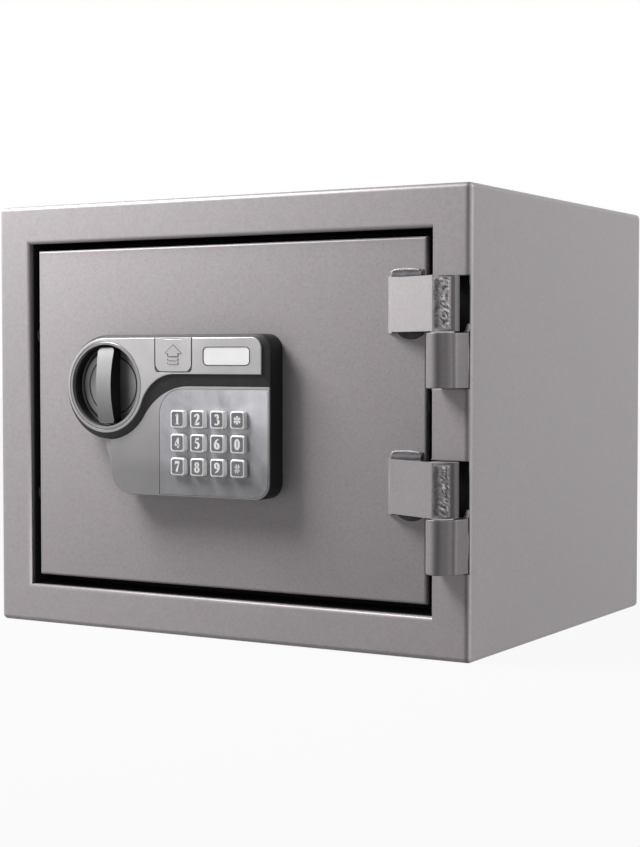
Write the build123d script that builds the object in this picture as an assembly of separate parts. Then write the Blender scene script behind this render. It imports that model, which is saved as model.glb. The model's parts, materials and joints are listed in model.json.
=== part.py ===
"""A fireproof electronic safe: insulated steel body, hinged door, bolt work and keypad lock.

Millimetres. X runs along the width, Z up, and the front faces -Y. The origin is the centre of
the base. Depths are measured into the body from the frame's front face, so a piece that stands
proud of the frame has a negative depth.
"""
import math
import os

from build123d import *

os.makedirs("parts", exist_ok=True)

# Body
body_width = 430.0
body_depth = 338.0
body_height = 340.0
edge_radius = 4.0
shell_sheet = 1.6
frame_sheet = 2.0
frame_skirt = 14.0
fit_gap = 0.3
over = 1.0
smallest_round = 0.2
anchor_clearance = 1.0

# Doorway and cavity
rim_width = 31.0
jamb_depth = 37.5
jamb_step = 15.0
jamb_sheet = 2.0
step_sheet = 1.5
liner_sheet = 1.2
back_wall = 45.0
cavity_corner = 3.0

# Door
door_recess = 4.5
door_side_gap = 6.5
door_top_gap = 5.7
door_bottom_gap = 8.0
door_face_sheet = 3.0
door_side_sheet = 2.0
door_thickness = 29.0
door_edge_radius = 2.0
door_hole_depth = 4.0
plug_gap = 8.5
plug_length = 24.5
plug_sheet = 1.5
plug_corner = 10.0
seal_width = 15.0
seal_height = 3.4

# Hinges
hinge_radius = 11.7
hinge_inset = 17.5
hinge_stand = 10.0
knuckle_height = 39.0
knuckle_break = 1.0
hinge_levels = (104.0, 235.0)
leaf_sheet = 6.0
leaf_reach = 43.0
weld_size = 5.5
pin_radius = 5.0
pin_grip = 30.0
pin_running_fit = 0.06
pin_seat_fit = 0.02
washer_radius = 9.0
washer_play = 0.1
pin_chamfer = 0.8
pocket_depth = 10.0
pocket_sheet = 1.5
pocket_rim = 2.0
tab_angle = 28.6
tab_proud = 1.5

# Bolt work
bolt_radius = 8.0
bolt_depth = 20.0
bolt_levels = (105.0, 235.0)
bolt_length = 32.0
bolt_setback = 0.5
bolt_throw = 16.0
bolt_fit = 0.05
bolt_hole_gap = 0.6
guide_length = 10.0
guide_wall = 2.5
spigot_radius = 4.0
carriage_sheet = 2.5
carriage_depth = 22.5
carriage_bar = 31.0
carriage_end = 12.0
lug_sheet = 3.0
lug_half = 10.0
arm_reach = 12.0
arm_drop = 14.0
arm_rise = 9.0
catch_arm = 14.0
cam_turn = 90.0
cam_radius = 20.0
cam_sheet = 4.0
cam_gap = 1.5
cam_pin_radius = 2.5
cam_pin_play = 0.55
spindle_radius = 5.0
spindle_fit = 0.06
tang_size = 6.0
chassis_sheet = 2.5
chassis_stand = 1.5
chassis_corner = 6.0
chassis_left_margin = 2.0
chassis_right_margin = 32.0
chassis_low_margin = 4.0
chassis_high_margin = 15.0
chassis_post_radius = 5.0
chassis_post_inset = 9.0
boss_radius = 9.0
running_play = 0.4
stud_radius = 3.0
stud_inset = 3.0
stud_rim = 2.0
stud_head = 1.6
stud_levels = (124.0, 216.0)
fixed_bolt_radius = 6.5
fixed_bolt_reach = 13.5
fixed_bolt_levels = (157.0, 181.0)
strike_depth = 13.0
strike_side_room = 3.0
strike_end_room = 7.0
fixed_slot_near = 8.0
fixed_slot_far = 31.0
fixed_slot_room = 2.5
fixed_bolt_base = 3.0
bolt_tip_chamfer = 1.2
fixed_tip_chamfer = 1.0

# Solenoid
plunger_radius = 3.0
plunger_travel = 5.0
plunger_x = -73.5
plunger_depth = 21.5
catch_width = 9.0
catch_height = 10.0
catch_level = 120.0
catch_play = 0.5
tip_gap = 0.8
collar_gap = 0.6
collar_rim = 1.6
collar_sheet = 1.4
spring_wall = 1.0
spring_gap = 0.1
coil_width = 24.0
coil_height = 30.0
coil_top = 108.0
coil_frame = 2.0
coil_air = 2.5
coil_floor = 4.0

# Lock panel
panel_right = 56.5
panel_low = 110.0
panel_left = -90.0
panel_stand = 22.0
base_wall = 2.5
base_floor = 2.0
knob_x = -93.3
knob_z = 194.8
face_ring = 37.0
face_low = 204.0
face_right = 51.2
face_corner = 8.5
face_sweep = 33.0
face_sheet = 1.4
bevel_ring = 40.8
bevel_shift = 0.6
bevel_top = 2.7
bevel_low = 195.0
bevel_corner = 12.0
bevel_sweep = 50.0
bevel_rise = 2.9
keypad_step = 3.5
keypad_sheet = 1.8
trim_sheet = 1.0
neck_reach = 14.0
neck_length = 24.0
neck_rise = 1.5
neck_root = 12.0
neck_bow = 1.4
neck_fall = 5.0
lower_left_corner = 18.0
lower_right_corner = 13.0
seam = 0.3
wire_x = -20.0
wire_z = 138.0
wire_hole = 3.0
wire_radius = 1.5
wire_bend = 7.0
panel_screw_places = ((-34.0, 122.0), (44.0, 122.0), (44.0, 224.0), (-118.0, 178.0))
panel_post_radius = 4.5
panel_thread = 8.0
panel_grip = 6.0
thread_fit = 0.1
fascia_edge = 0.4

# Knob
cup_radius = 32.0
cup_wall = 1.4
cup_lip = 2.3
cup_floor = 1.4
cup_edge = 0.5
cup_fillet = 1.2
cup_depth = 13.3
dial_radius = 28.3
dial_sheet = 2.3
dial_groove = 23.0
groove_half = 0.5
hub_radius = 6.0
grip_length = 59.0
grip_end_width = 15.8
grip_waist_width = 14.0
grip_crown = 4.5
grip_corner = 3.0
grip_stand = 2.2

# Keys
key_pitch = 18.2
key_width = 12.9
key_height = 13.5
key_corner = 2.2
key_bevel = 0.7
key_stand = 4.2
key_travel = 1.2
key_flange = 1.0
key_gap = 0.35
first_key_x = -24.1
first_key_z = 169.8
film_left = -43.5
film_sheet = 0.7
film_corner = 20.0
film_top_inset = 2.6
film_edge_inset = 1.6
film_groove = 0.5
film_margin = 1.2
fascia_margin = 0.2
mat_sheet = 1.2
board_sheet = 1.6
board_margin = 1.5
board_corner = 2.0
chip_size = 14.0
chip_inset = 8.0
buzzer_radius = 6.0
buzzer_height = 4.0

# Cover, window and override lock
cover_left = -45.0
cover_right = -11.5
cover_low = 206.0
cover_corner = 6.0
cover_sheet = 1.1
window_left = -0.5
window_right = 41.0
window_low = 211.0
window_high = 224.5
window_corner = 3.5
window_set = 0.2
cover_groove = 0.6
cover_notch = 8.0
plug_radius = 5.5
plug_running_fit = 0.05
cylinder_radius = 8.5
cylinder_set = 0.2
cylinder_floor = 2.0
keyway_width = 1.8
keyway_height = 8.0
keyway_depth = 12.0
override_z = 218.0

# Inside
shelf_level = 170.0
shelf_sheet = 1.5
shelf_lip = 12.0
shelf_side_gap = 1.5
shelf_front_gap = 17.0
shelf_back_gap = 13.0
rail_end_gap = 3.0
rail_size = 13.0
rail_sheet = 1.5
mat_thickness = 2.0
mat_front_gap = 5.0
mat_hole_margin = 1.5
anchor_spacing = 220.0
anchor_radius = 5.5
battery_radius = 7.1
battery_length = 50.5
battery_count = 4
box_sheet = 1.2
box_left = 30.0
box_low = 125.0
box_end_room = 7.0
box_top_room = 1.2
box_depth_room = 0.6
cell_gap = 0.4
cell_cap = 1.0
lid_corner = 2.0
lid_groove = 18.0
lid_groove_width = 3.0
lid_groove_depth = 0.7
lid_groove_inset = 5.0
screw_radius = 1.9
screw_head = 3.5
screw_head_height = 2.0
flat_head_height = 1.2
pan_screw_length = 16.0
pan_screw_inset = 11.0

# Places that follow from the sizes above
front_y = -body_depth / 2
doorway = body_width / 2 - rim_width
doorway_low = rim_width
doorway_high = body_height - rim_width
door_half = doorway - door_side_gap
door_low = doorway_low + door_bottom_gap
door_high = doorway_high - door_top_gap
door_back = door_recess + door_thickness
chamber = door_recess + door_face_sheet
cavity = doorway - jamb_step
cavity_low = doorway_low + jamb_step
cavity_high = doorway_high - jamb_step
cavity_front = jamb_depth + step_sheet
cavity_back = body_depth - back_wall
plug_half = cavity - plug_gap
plug_low = cavity_low + plug_gap
plug_high = cavity_high - plug_gap
plug_back = door_back + plug_length
hinge_x = body_width / 2 - hinge_inset
base_back = door_recess
face_front = door_recess - panel_stand
bevel_front = face_front + face_sheet
bevel_back = bevel_front + bevel_rise
base_front = bevel_back + trim_sheet
keypad_front = face_front + keypad_step
keypad_back = keypad_front + keypad_sheet
bevel_x = knob_x + bevel_shift
bevel_z = knob_z + face_ring + bevel_top - bevel_ring
cup_front = face_front - seam
cup_back = cup_front + cup_depth + cup_floor
dial_back = cup_back - cup_floor - seam
dial_front = dial_back - dial_sheet
cam_front = carriage_depth - cam_gap - cam_sheet
cam_back = cam_front + cam_sheet
pin_circle = bolt_throw / (2 * math.sin(math.radians(cam_turn / 2)))
pin_x = knob_x + pin_circle * math.sin(math.radians(cam_turn / 2))
pin_z = knob_z + pin_circle * math.cos(math.radians(cam_turn / 2))
chassis_front = chamber + chassis_stand
chassis_back = chassis_front + chassis_sheet
bolt_tip = -door_half + bolt_setback
bolt_tail = bolt_tip + bolt_length
plunger_side = plunger_radius + catch_play
catch_left = plunger_x + plunger_side
key_front = keypad_front - key_stand
flange_front = keypad_back + fit_gap
flange_back = flange_front + key_flange
rubber_front = flange_back + key_travel + fit_gap
rubber_back = rubber_front + mat_sheet
board_front = rubber_back + fit_gap
board_back = board_front + board_sheet
override_x = (cover_left + cover_right) / 2


# Shared shapes
def block(x0, x1, near, far, z0, z1):
    """A box given by its limits: x, depth and z."""
    size = Box(x1 - x0, far - near, z1 - z0)
    return Pos((x0 + x1) / 2, front_y + (near + far) / 2, (z0 + z1) / 2) * size


def front_plane(depth):
    """The plane seen from the front at one depth, its own x and y being the safe's X and Z."""
    return Plane(origin=(0, front_y + depth, 0), x_dir=(1, 0, 0), z_dir=(0, -1, 0))


def plate(profile, near, far):
    """A front-view profile filled between two depths."""
    return extrude(front_plane(far) * profile, amount=far - near)


def rect(x0, x1, z0, z1, corner=0.0):
    """A rectangle by its limits in front view, with rounded corners where asked."""
    middle = Pos((x0 + x1) / 2, (z0 + z1) / 2)
    if corner > 0:
        return middle * RectangleRounded(x1 - x0, z1 - z0, corner)
    return middle * Rectangle(x1 - x0, z1 - z0)


def disc(x, z, radius, near, far):
    """A cylinder along the depth."""
    return plate(Pos(x, z) * Circle(radius), near, far)


def post(x, depth, radius, z0, z1):
    """An upright cylinder."""
    return extrude(Pos(x, front_y + depth, z0) * Circle(radius), amount=z1 - z0)


def rod(x0, x1, depth, z, radius):
    """A cylinder along the width."""
    start = Plane(origin=(x0, front_y + depth, z), x_dir=(0, 1, 0), z_dir=(1, 0, 0))
    return extrude(start * Circle(radius), amount=x1 - x0)


def turned(x, z, profile):
    """A ring turned about an axis along the depth; the profile lists radius and depth."""
    flat = Pos(x, front_y, z) * Polygon(*profile, align=None)
    return revolve(flat, axis=Axis((x, front_y, z), (0, 1, 0)), revolution_arc=360)


def joined(shapes):
    """Separate solids kept together in one node."""
    return Compound(children=[solid for shape in shapes for solid in shape.solids()])


def save(shape, name):
    export_step(shape, f"parts/{name}.step")


# Body pieces
def body_form(inset):
    """The body's outer form, shrunk evenly on all six sides."""
    form = block(
        -body_width / 2 + inset,
        body_width / 2 - inset,
        inset,
        body_depth - inset,
        inset,
        body_height - inset,
    )
    radius = edge_radius - inset
    return fillet(form.edges(), radius) if radius > smallest_round else form


def slab(near, far):
    """Everything of the body between two depths."""
    return block(-body_width, body_width, near, far, -body_height, 2 * body_height)


def hinge_range(level):
    """Lowest and highest point of a hinge whose door knuckle starts at this level."""
    return level - knuckle_break - knuckle_height, level + knuckle_height


def hinge_pocket(level, wall):
    """The recess in the frame behind a hinge, with a wall round it where asked."""
    low, high = hinge_range(level)
    right = body_width / 2 - pocket_rim
    return block(
        doorway - over,
        right + min(wall, pocket_rim / 4),
        -over if wall == 0 else frame_sheet / 2,
        pocket_depth + wall,
        low - fit_gap - wall,
        high + fit_gap + wall,
    )


def fixed_slot(near, far, margin):
    """Front-view height of the fixed bolts' slot, and its depths, as a block's limits."""
    reach = fixed_bolt_radius + fixed_slot_room + margin
    low = min(fixed_bolt_levels) - reach
    high = max(fixed_bolt_levels) + reach
    return near - margin, far + margin, low, high


def make_front_frame():
    """Rounded front ring with the doorway's jamb and the step that the door's seal meets."""
    skin = (body_form(0) - body_form(frame_sheet)) & slab(-over, frame_skirt)
    ring = skin - plate(rect(-doorway, doorway, doorway_low, doorway_high), -over, frame_skirt)
    outer = rect(
        -doorway - jamb_sheet,
        doorway + jamb_sheet,
        doorway_low - jamb_sheet,
        doorway_high + jamb_sheet,
    )
    opening = rect(-doorway, doorway, doorway_low, doorway_high)
    inner = rect(-cavity, cavity, cavity_low, cavity_high, cavity_corner)
    jamb = plate(outer - opening, frame_sheet / 2, cavity_front)
    step = plate(outer - inner, jamb_depth, cavity_front)
    frame = ring + jamb + step
    for level in hinge_levels:
        frame = frame + (hinge_pocket(level, pocket_sheet) - slab(-frame_sheet, frame_sheet / 2))
        frame = frame - hinge_pocket(level, 0)
    for level in bolt_levels:
        left = -doorway - jamb_sheet - over
        frame = frame - rod(left, -doorway + over, bolt_depth, level, bolt_radius + over)
    near, far, low, high = fixed_slot(fixed_slot_near, fixed_slot_far, 0)
    frame = frame - block(doorway - over, doorway + jamb_sheet + over, near, far, low, high)
    save(frame, "front_frame")


def anchor_holes(radius):
    """Two upright holes through the floor."""
    middle = body_depth / 2
    top = cavity_low + mat_thickness + over
    return [post(x, middle, radius, -over, top) for x in anchor_places()]


def anchor_places():
    return (-anchor_spacing / 2, anchor_spacing / 2)


def make_outer_shell():
    """The wrap: floor, roof and both sides, bent round rounded edges."""
    skin = (body_form(0) - body_form(shell_sheet)) & slab(frame_skirt, body_depth - frame_skirt)
    for hole in anchor_holes(anchor_radius):
        skin = skin - hole
    save(skin, "outer_shell")


def make_back_panel():
    """The rear panel with its turned rim, welded to the wrap."""
    skin = (body_form(0) - body_form(shell_sheet)) & slab(body_depth - frame_skirt, body_depth + over)
    save(skin, "back_panel")


def liner_block(grow, back):
    """The cavity grown on all sides, from behind the frame's step to a given depth."""
    profile = rect(
        -cavity - grow,
        cavity + grow,
        cavity_low - grow,
        cavity_high + grow,
        cavity_corner + grow,
    )
    return plate(profile, cavity_front + fit_gap, back)


def make_inner_liner():
    """Folded sheet that lines the cavity's floor, sides and roof, open at both ends."""
    liner = liner_block(liner_sheet, cavity_back)
    liner = liner - plate(
        rect(-cavity, cavity, cavity_low, cavity_high, cavity_corner),
        cavity_front,
        cavity_back + over,
    )
    for hole in anchor_holes(anchor_radius):
        liner = liner - hole
    save(liner, "inner_liner")


def make_liner_back():
    """Flat sheet welded across the liner's rear end."""
    wrap = liner_block(liner_sheet, cavity_back + liner_sheet)
    save(wrap & slab(cavity_back, cavity_back + liner_sheet), "liner_back")


def make_wall_insulation():
    """The cast fire fill between the wrap and the liner."""
    fill = body_form(frame_sheet + fit_gap)
    grow = jamb_sheet + fit_gap
    doorway_hole = rect(
        -doorway - grow, doorway + grow, doorway_low - grow, doorway_high + grow
    )
    fill = fill - plate(doorway_hole, 0, cavity_front + fit_gap)
    liner_hole = liner_block(liner_sheet + fit_gap, cavity_back + liner_sheet + fit_gap)
    fill = fill - liner_hole
    for level in hinge_levels:
        low, high = hinge_range(level)
        wall = pocket_sheet + 2 * fit_gap
        fill = fill - block(
            doorway, body_width / 2, 0, pocket_depth + wall, low - wall, high + wall
        )
    fill = fill - strike_block(fit_gap) - fixed_block(fit_gap)
    for hole in anchor_holes(anchor_radius + anchor_clearance):
        fill = fill - hole
    save(fill, "wall_insulation")


def strike_block(margin):
    """The space of the pocket that receives the live bolts."""
    jamb_side = -doorway - jamb_sheet
    return block(
        jamb_side - strike_depth - margin,
        jamb_side,
        bolt_depth - bolt_radius - strike_side_room - margin,
        bolt_depth + bolt_radius + strike_side_room + margin,
        min(bolt_levels) - bolt_radius - strike_end_room - margin,
        max(bolt_levels) + bolt_radius + strike_end_room + margin,
    )


def make_strike_box():
    """Steel pocket behind the jamb for the live bolts."""
    save(strike_block(0) - (Pos(pocket_sheet, 0, 0) * strike_block(-pocket_sheet)), "strike_box")


def fixed_block(margin):
    """The space of the pocket behind the hinge-side jamb."""
    near, far, low, high = fixed_slot(fixed_slot_near, fixed_slot_far, pocket_sheet + margin)
    jamb_side = doorway + jamb_sheet
    return block(jamb_side, jamb_side + strike_depth + margin, near, far, low, high)


def make_fixed_bolt_box():
    """Steel pocket behind the jamb for the fixed bolts."""
    hollow = Pos(-pocket_sheet, 0, 0) * fixed_block(-pocket_sheet)
    save(fixed_block(0) - hollow, "fixed_bolt_box")


# Hinge pieces
def barrel(z0, z1):
    return post(hinge_x, -hinge_stand, hinge_radius, z0, z1)


def leaf_angle():
    """Slope of the leaf, whose front runs tangent to the barrel from the door's face."""
    rise = hinge_stand + door_recess
    distance = math.hypot(leaf_reach, rise)
    return math.atan2(rise, leaf_reach) + math.asin((hinge_radius - leaf_sheet) / distance)


def make_hinge_leaves():
    """Door halves: a knuckle, the sloping leaf welded on the door and its weld beads."""
    slope = leaf_angle()
    along = (math.cos(slope), -math.sin(slope))
    back = (math.sin(slope), math.cos(slope))
    foot = (hinge_x - leaf_reach, door_recess)
    toe = (foot[0] - leaf_sheet * back[0], foot[1] - leaf_sheet * back[1])
    run = math.sqrt(leaf_reach**2 + (hinge_stand + door_recess) ** 2)
    run = math.sqrt(run**2 - (hinge_radius - leaf_sheet) ** 2)
    tip = (foot[0] + run * along[0], foot[1] + run * along[1])
    crown = (toe[0] + run * along[0], toe[1] + run * along[1])
    leaf_profile = Polygon(foot, toe, crown, tip, align=None)
    bead_profile = Polygon(
        (toe[0] - weld_size, door_recess),
        (toe[0] - weld_size / 3, door_recess - weld_size / 2),
        toe,
        foot,
        align=None,
    )
    halves = []
    for level in hinge_levels:
        top = level + knuckle_height
        half = barrel(level, top)
        half = half + extrude(
            Pos(0, front_y, level) * leaf_profile, amount=knuckle_height
        )
        half = half + extrude(
            Pos(0, front_y, level - over) * bead_profile, amount=knuckle_height + 2 * over
        )
        half = half + leaf_end_bead(foot[0], top)
        half = half - post(
            hinge_x,
            -hinge_stand,
            pin_radius + pin_running_fit,
            level - over,
            level + pin_grip + fit_gap,
        )
        halves.append(half)
    save(joined(halves), "hinge_leaves")


def leaf_end_bead(foot_x, top):
    """The weld run along the leaf's upper edge, lying on the door's face."""
    bead = rod(foot_x - weld_size / 2, door_half - door_edge_radius, door_recess, top, weld_size)
    return bead & block(-body_width, body_width, -body_depth, door_recess, 0, body_height)


def make_frame_knuckles():
    """Frame halves: a knuckle with the tab and weld that join it to the frame."""
    centre = (hinge_x, -hinge_stand)
    side = (
        hinge_x + hinge_radius * math.cos(math.radians(tab_angle)),
        -hinge_stand - hinge_radius * math.sin(math.radians(tab_angle)),
    )
    right = body_width / 2 - pocket_rim - fit_gap
    deep = pocket_depth - fit_gap
    profile = Polygon(
        centre,
        side,
        (right, -tab_proud),
        (right, deep),
        (hinge_x - hinge_radius / 2, deep),
        align=None,
    )
    halves = []
    for level in hinge_levels:
        high = level - knuckle_break
        low = high - knuckle_height
        half = barrel(low, high)
        half = half + extrude(Pos(0, front_y, low) * profile, amount=knuckle_height)
        half = half - post(
            hinge_x,
            -hinge_stand,
            pin_radius + pin_seat_fit,
            high - pin_grip - fit_gap,
            high + over,
        )
        halves.append(half)
    save(joined(halves), "frame_knuckles")


def make_hinge_pins():
    """Upright pins, fixed in the frame knuckles, that the door lifts on to."""
    pins = []
    for level in hinge_levels:
        high = level - knuckle_break
        pin = post(hinge_x, -hinge_stand, pin_radius, high - pin_grip, level + pin_grip)
        pins.append(chamfer(pin.edges(), pin_chamfer))
    save(joined(pins), "hinge_pins")


def make_hinge_washers():
    """Bearing washers between the two knuckles of each hinge."""
    washers = []
    for level in hinge_levels:
        low = level - knuckle_break
        washer = post(hinge_x, -hinge_stand, washer_radius, low, level - washer_play)
        bore = post(hinge_x, -hinge_stand, pin_radius + fit_gap, low - over, level + over)
        washers.append(washer - bore)
    save(joined(washers), "hinge_washers")


# Door pieces
def make_door_plate():
    """Front plate with its turned sides; the bolts come out through them."""
    pan = block(-door_half, door_half, door_recess, door_back, door_low, door_high)
    front = pan.faces().sort_by(Axis.Y)[0]
    pan = fillet(front.edges(), door_edge_radius)
    pan = pan - block(
        -door_half + door_side_sheet,
        door_half - door_side_sheet,
        chamber,
        door_back + over,
        door_low + door_side_sheet,
        door_high - door_side_sheet,
    )
    for level in bolt_levels:
        radius = bolt_radius + bolt_hole_gap
        pan = pan - rod(-door_half - over, -door_half + door_hole_depth, bolt_depth, level, radius)
    for level in fixed_bolt_levels:
        radius = fixed_bolt_radius + fit_gap
        pan = pan - rod(door_half - door_hole_depth, door_half + over, bolt_depth, level, radius)
    pan = pan - disc(knob_x, knob_z, spindle_radius + fit_gap, 0, chamber + over)
    pan = pan - disc(wire_x, wire_z, wire_hole, 0, chamber + over)
    for x, z in panel_screw_places:
        pan = pan - disc(x, z, screw_radius + fit_gap, 0, chamber + over)
    save(pan, "door_plate")


def plug_profile(inset):
    """The plug's outline, shrunk evenly."""
    return rect(
        -plug_half + inset,
        plug_half - inset,
        plug_low + inset,
        plug_high - inset,
        plug_corner - inset,
    )


def make_door_pan():
    """Rear pan: a flange inside the door's sides and the hat that plugs the cavity."""
    edge = door_side_sheet + fit_gap
    flange = rect(-door_half + edge, door_half - edge, door_low + edge, door_high - edge)
    flange_front_depth = door_back - plug_sheet
    pan = plate(flange, flange_front_depth, door_back)
    pan = pan + plate(plug_profile(0), flange_front_depth, plug_back)
    pan = pan - plate(plug_profile(plug_sheet), 0, plug_back - plug_sheet)
    pan = pan - plate(battery_lid_profile(fit_gap), 0, plug_back + over)
    for x, z in pan_screw_places():
        pan = pan - disc(x, z, screw_radius + fit_gap, 0, plug_back + over)
    save(pan, "door_pan")


def make_door_insulation():
    """The fire fill inside the door's plug."""
    near = door_back + fit_gap
    far = plug_back - plug_sheet - fit_gap
    fill = plate(plug_profile(plug_sheet + fit_gap), near, far)
    box = battery_box_limits()
    fill = fill - plate(rect(*grown(box, fit_gap)), box_front() - fit_gap, far + over)
    for x, z in pan_screw_places():
        fill = fill - disc(x, z, screw_radius + fit_gap, near - over, far + over)
    save(fill, "door_insulation")


def make_door_seal():
    """Heat-swelling strip round the plug, facing the frame's step."""
    near = door_back + fit_gap
    ring = plate(plug_profile(-seal_width), near, near + seal_height)
    ring = ring - plate(plug_profile(-fit_gap), near - over, near + seal_height + over)
    save(ring, "door_seal")


def pan_screw_places():
    """Six screws round the plug's rear face."""
    x = plug_half - pan_screw_inset
    rows = (plug_low + pan_screw_inset, (plug_low + plug_high) / 2, plug_high - pan_screw_inset)
    return [(side * x, z) for side in (-1, 1) for z in rows]


def make_pan_screws():
    """Pan-head screws through the rear pan."""
    screws = []
    for x, z in pan_screw_places():
        shank = disc(x, z, screw_radius, plug_back - pan_screw_length, plug_back)
        head = disc(x, z, screw_head, plug_back, plug_back + screw_head_height)
        screws.append(shank + head)
    save(joined(screws), "pan_screws")


# Battery box in the door's rear
def battery_pitch():
    return 2 * battery_radius + cell_gap


def battery_box_limits():
    """Left, right, low and high of the battery box."""
    width = battery_length + 2 * box_sheet + 2 * box_end_room
    height = battery_count * battery_pitch() + 2 * box_sheet + box_top_room
    return box_left, box_left + width, box_low, box_low + height


def grown(limits, margin):
    left, right, low, high = limits
    return left - margin, right + margin, low - margin, high + margin


def box_front():
    return plug_back - plug_sheet - 2 * battery_radius - box_sheet - box_depth_room


def battery_lid_profile(margin):
    return rect(*grown(battery_box_limits(), margin - box_sheet / 2), lid_corner)


def make_battery_box():
    """Moulded box, open to the rear, for the cells."""
    limits = battery_box_limits()
    far = plug_back - plug_sheet
    box = plate(rect(*limits), box_front(), far)
    box = box - plate(rect(*grown(limits, -box_sheet)), box_front() + box_sheet, far + over)
    save(box, "battery_box")


def make_batteries():
    """Four round cells side by side, each with its terminal cap."""
    left, _, low, _ = battery_box_limits()
    start = left + box_sheet + box_end_room
    cells = []
    for count in range(battery_count):
        z = low + box_sheet + (box_top_room + cell_gap) / 2 + battery_radius
        z = z + count * battery_pitch()
        depth = box_front() + box_sheet + box_depth_room / 2 + battery_radius
        cap_start = start + battery_length - cell_cap
        cell = rod(start, cap_start, depth, z, battery_radius)
        cell = cell + rod(cap_start, cap_start + cell_cap, depth, z, battery_radius / 3)
        cells.append(cell)
    save(joined(cells), "batteries")


def make_battery_lid():
    """Flush lid over the cells, with a finger groove."""
    lid = plate(battery_lid_profile(0), plug_back - plug_sheet, plug_back)
    left, right, low, high = battery_box_limits()
    middle = (left + right) / 2
    groove_top = high - lid_groove_inset
    lid = lid - block(
        middle - lid_groove / 2,
        middle + lid_groove / 2,
        plug_back - lid_groove_depth,
        plug_back + over,
        groove_top - lid_groove_width,
        groove_top,
    )
    save(lid, "battery_lid")


# Bolt work
def carriage_plate_profile():
    """Bar, cam arm and catch arm of the carriage, with its guide slots and cam slot."""
    bar_right = bolt_tail + carriage_bar
    low = min(bolt_levels) - carriage_end
    high = max(bolt_levels) + carriage_end
    shape = rect(bolt_tail, bar_right, low, high)
    slot_half = cam_pin_radius + cam_pin_play
    arm_top = knob_z + pin_circle + arm_rise
    shape = shape + rect(bar_right - over, pin_x + arm_reach, knob_z - arm_drop, arm_top)
    catch_right = catch_left + catch_width
    catch_top = catch_level + catch_height
    shape = shape + rect(bar_right - over, catch_right, catch_top, catch_top + catch_arm)
    ramp = catch_width / 2
    shape = shape + Polygon(
        (catch_left, catch_top + over),
        (catch_left, catch_level + ramp),
        (catch_left + ramp, catch_level),
        (catch_right, catch_level),
        (catch_right, catch_top + over),
        align=None,
    )
    slot_top = knob_z + pin_circle + slot_half
    slot_low = pin_z - slot_half
    shape = shape - rect(pin_x - slot_half, pin_x + slot_half, slot_low, slot_top)
    for level in stud_levels:
        gap = stud_radius + fit_gap
        start = stud_x()
        slot = Pos(start + bolt_throw / 2, level) * SlotOverall(bolt_throw + 2 * gap, 2 * gap)
        shape = shape - slot
    return shape


def stud_x():
    return bolt_tail + stud_radius + stud_inset


def make_bolt_carriage():
    """Sliding plate with a bent lug behind each live bolt."""
    carriage = plate(
        carriage_plate_profile(), carriage_depth, carriage_depth + carriage_sheet
    )
    near = bolt_depth - bolt_radius + over
    far = carriage_depth + over
    lug_right = bolt_tail + lug_sheet
    for level in bolt_levels:
        lug = block(bolt_tail, lug_right, near, far, level - lug_half, level + lug_half)
        carriage = carriage + lug
    for level in bolt_levels:
        hole = spigot_radius + bolt_fit
        carriage = carriage - rod(bolt_tail - over, lug_right + over / 2, bolt_depth, level, hole)
    save(carriage, "bolt_carriage")


def make_live_bolts():
    """Round bolts with a chamfered tip and a riveting spigot."""
    bolts = []
    for level in bolt_levels:
        bolt = rod(bolt_tip, bolt_tail, bolt_depth, level, bolt_radius)
        tip = bolt.edges().sort_by(Axis.X)[0]
        bolt = chamfer(tip, bolt_tip_chamfer)
        bolt = bolt + rod(bolt_tail, bolt_tail + lug_sheet, bolt_depth, level, spigot_radius)
        bolts.append(bolt)
    save(joined(bolts), "live_bolts")


def make_bolt_guides():
    """Guide blocks inside the door's edge, one round each live bolt."""
    start = -door_half + door_side_sheet
    reach = bolt_radius + guide_wall
    guides = []
    for level in bolt_levels:
        guide = block(
            start,
            start + guide_length,
            bolt_depth - reach,
            bolt_depth + reach,
            level - reach,
            level + reach,
        )
        guide = guide - rod(
            start - over, start + guide_length + over, bolt_depth, level, bolt_radius + bolt_fit
        )
        guides.append(guide)
    save(joined(guides), "bolt_guides")


def make_fixed_bolts():
    """Fixed bolts on the hinge side, each with a base inside the door's edge."""
    side = door_half - door_side_sheet
    bolts = []
    for level in fixed_bolt_levels:
        bolt = rod(side, door_half + fixed_bolt_reach, bolt_depth, level, fixed_bolt_radius)
        bolt = chamfer(bolt.edges().sort_by(Axis.X)[-1], fixed_tip_chamfer)
        wide = fixed_bolt_radius + fixed_bolt_base
        bolt = bolt + rod(side - fixed_bolt_base, side, bolt_depth, level, wide)
        bolts.append(bolt)
    save(joined(bolts), "fixed_bolts")


def chassis_limits():
    """Left, right, low and high of the lock chassis."""
    left = bolt_tail - chassis_left_margin
    right = plunger_x + chassis_right_margin
    low = coil_top - coil_height - chassis_low_margin
    return left, right, low, max(bolt_levels) + chassis_high_margin


def make_lock_chassis():
    """Plate behind the door's face that carries the spindle, the carriage and the solenoid."""
    left, right, low, high = chassis_limits()
    chassis = plate(rect(left, right, low, high, chassis_corner), chassis_front, chassis_back)
    inset = chassis_post_inset
    for x in (left + inset, right - inset):
        for z in (low + inset, high - inset):
            chassis = chassis + disc(x, z, chassis_post_radius, chamber, chassis_front + over)
    boss_back = cam_front - running_play
    chassis = chassis + disc(knob_x, knob_z, boss_radius, chassis_back - over, boss_back)
    bore = disc(knob_x, knob_z, spindle_radius + spindle_fit, 0, boss_back + over)
    chassis = chassis - bore
    head = carriage_depth + carriage_sheet + running_play
    shoulder = carriage_depth - running_play
    wide = stud_radius + stud_rim
    for level in stud_levels:
        chassis = chassis + disc(stud_x(), level, stud_radius, chassis_back - over, head + over)
        chassis = chassis + disc(stud_x(), level, wide, head, head + stud_head)
        chassis = chassis + disc(stud_x(), level, wide, chassis_back - over, shoulder)
    save(chassis, "lock_chassis")


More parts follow.
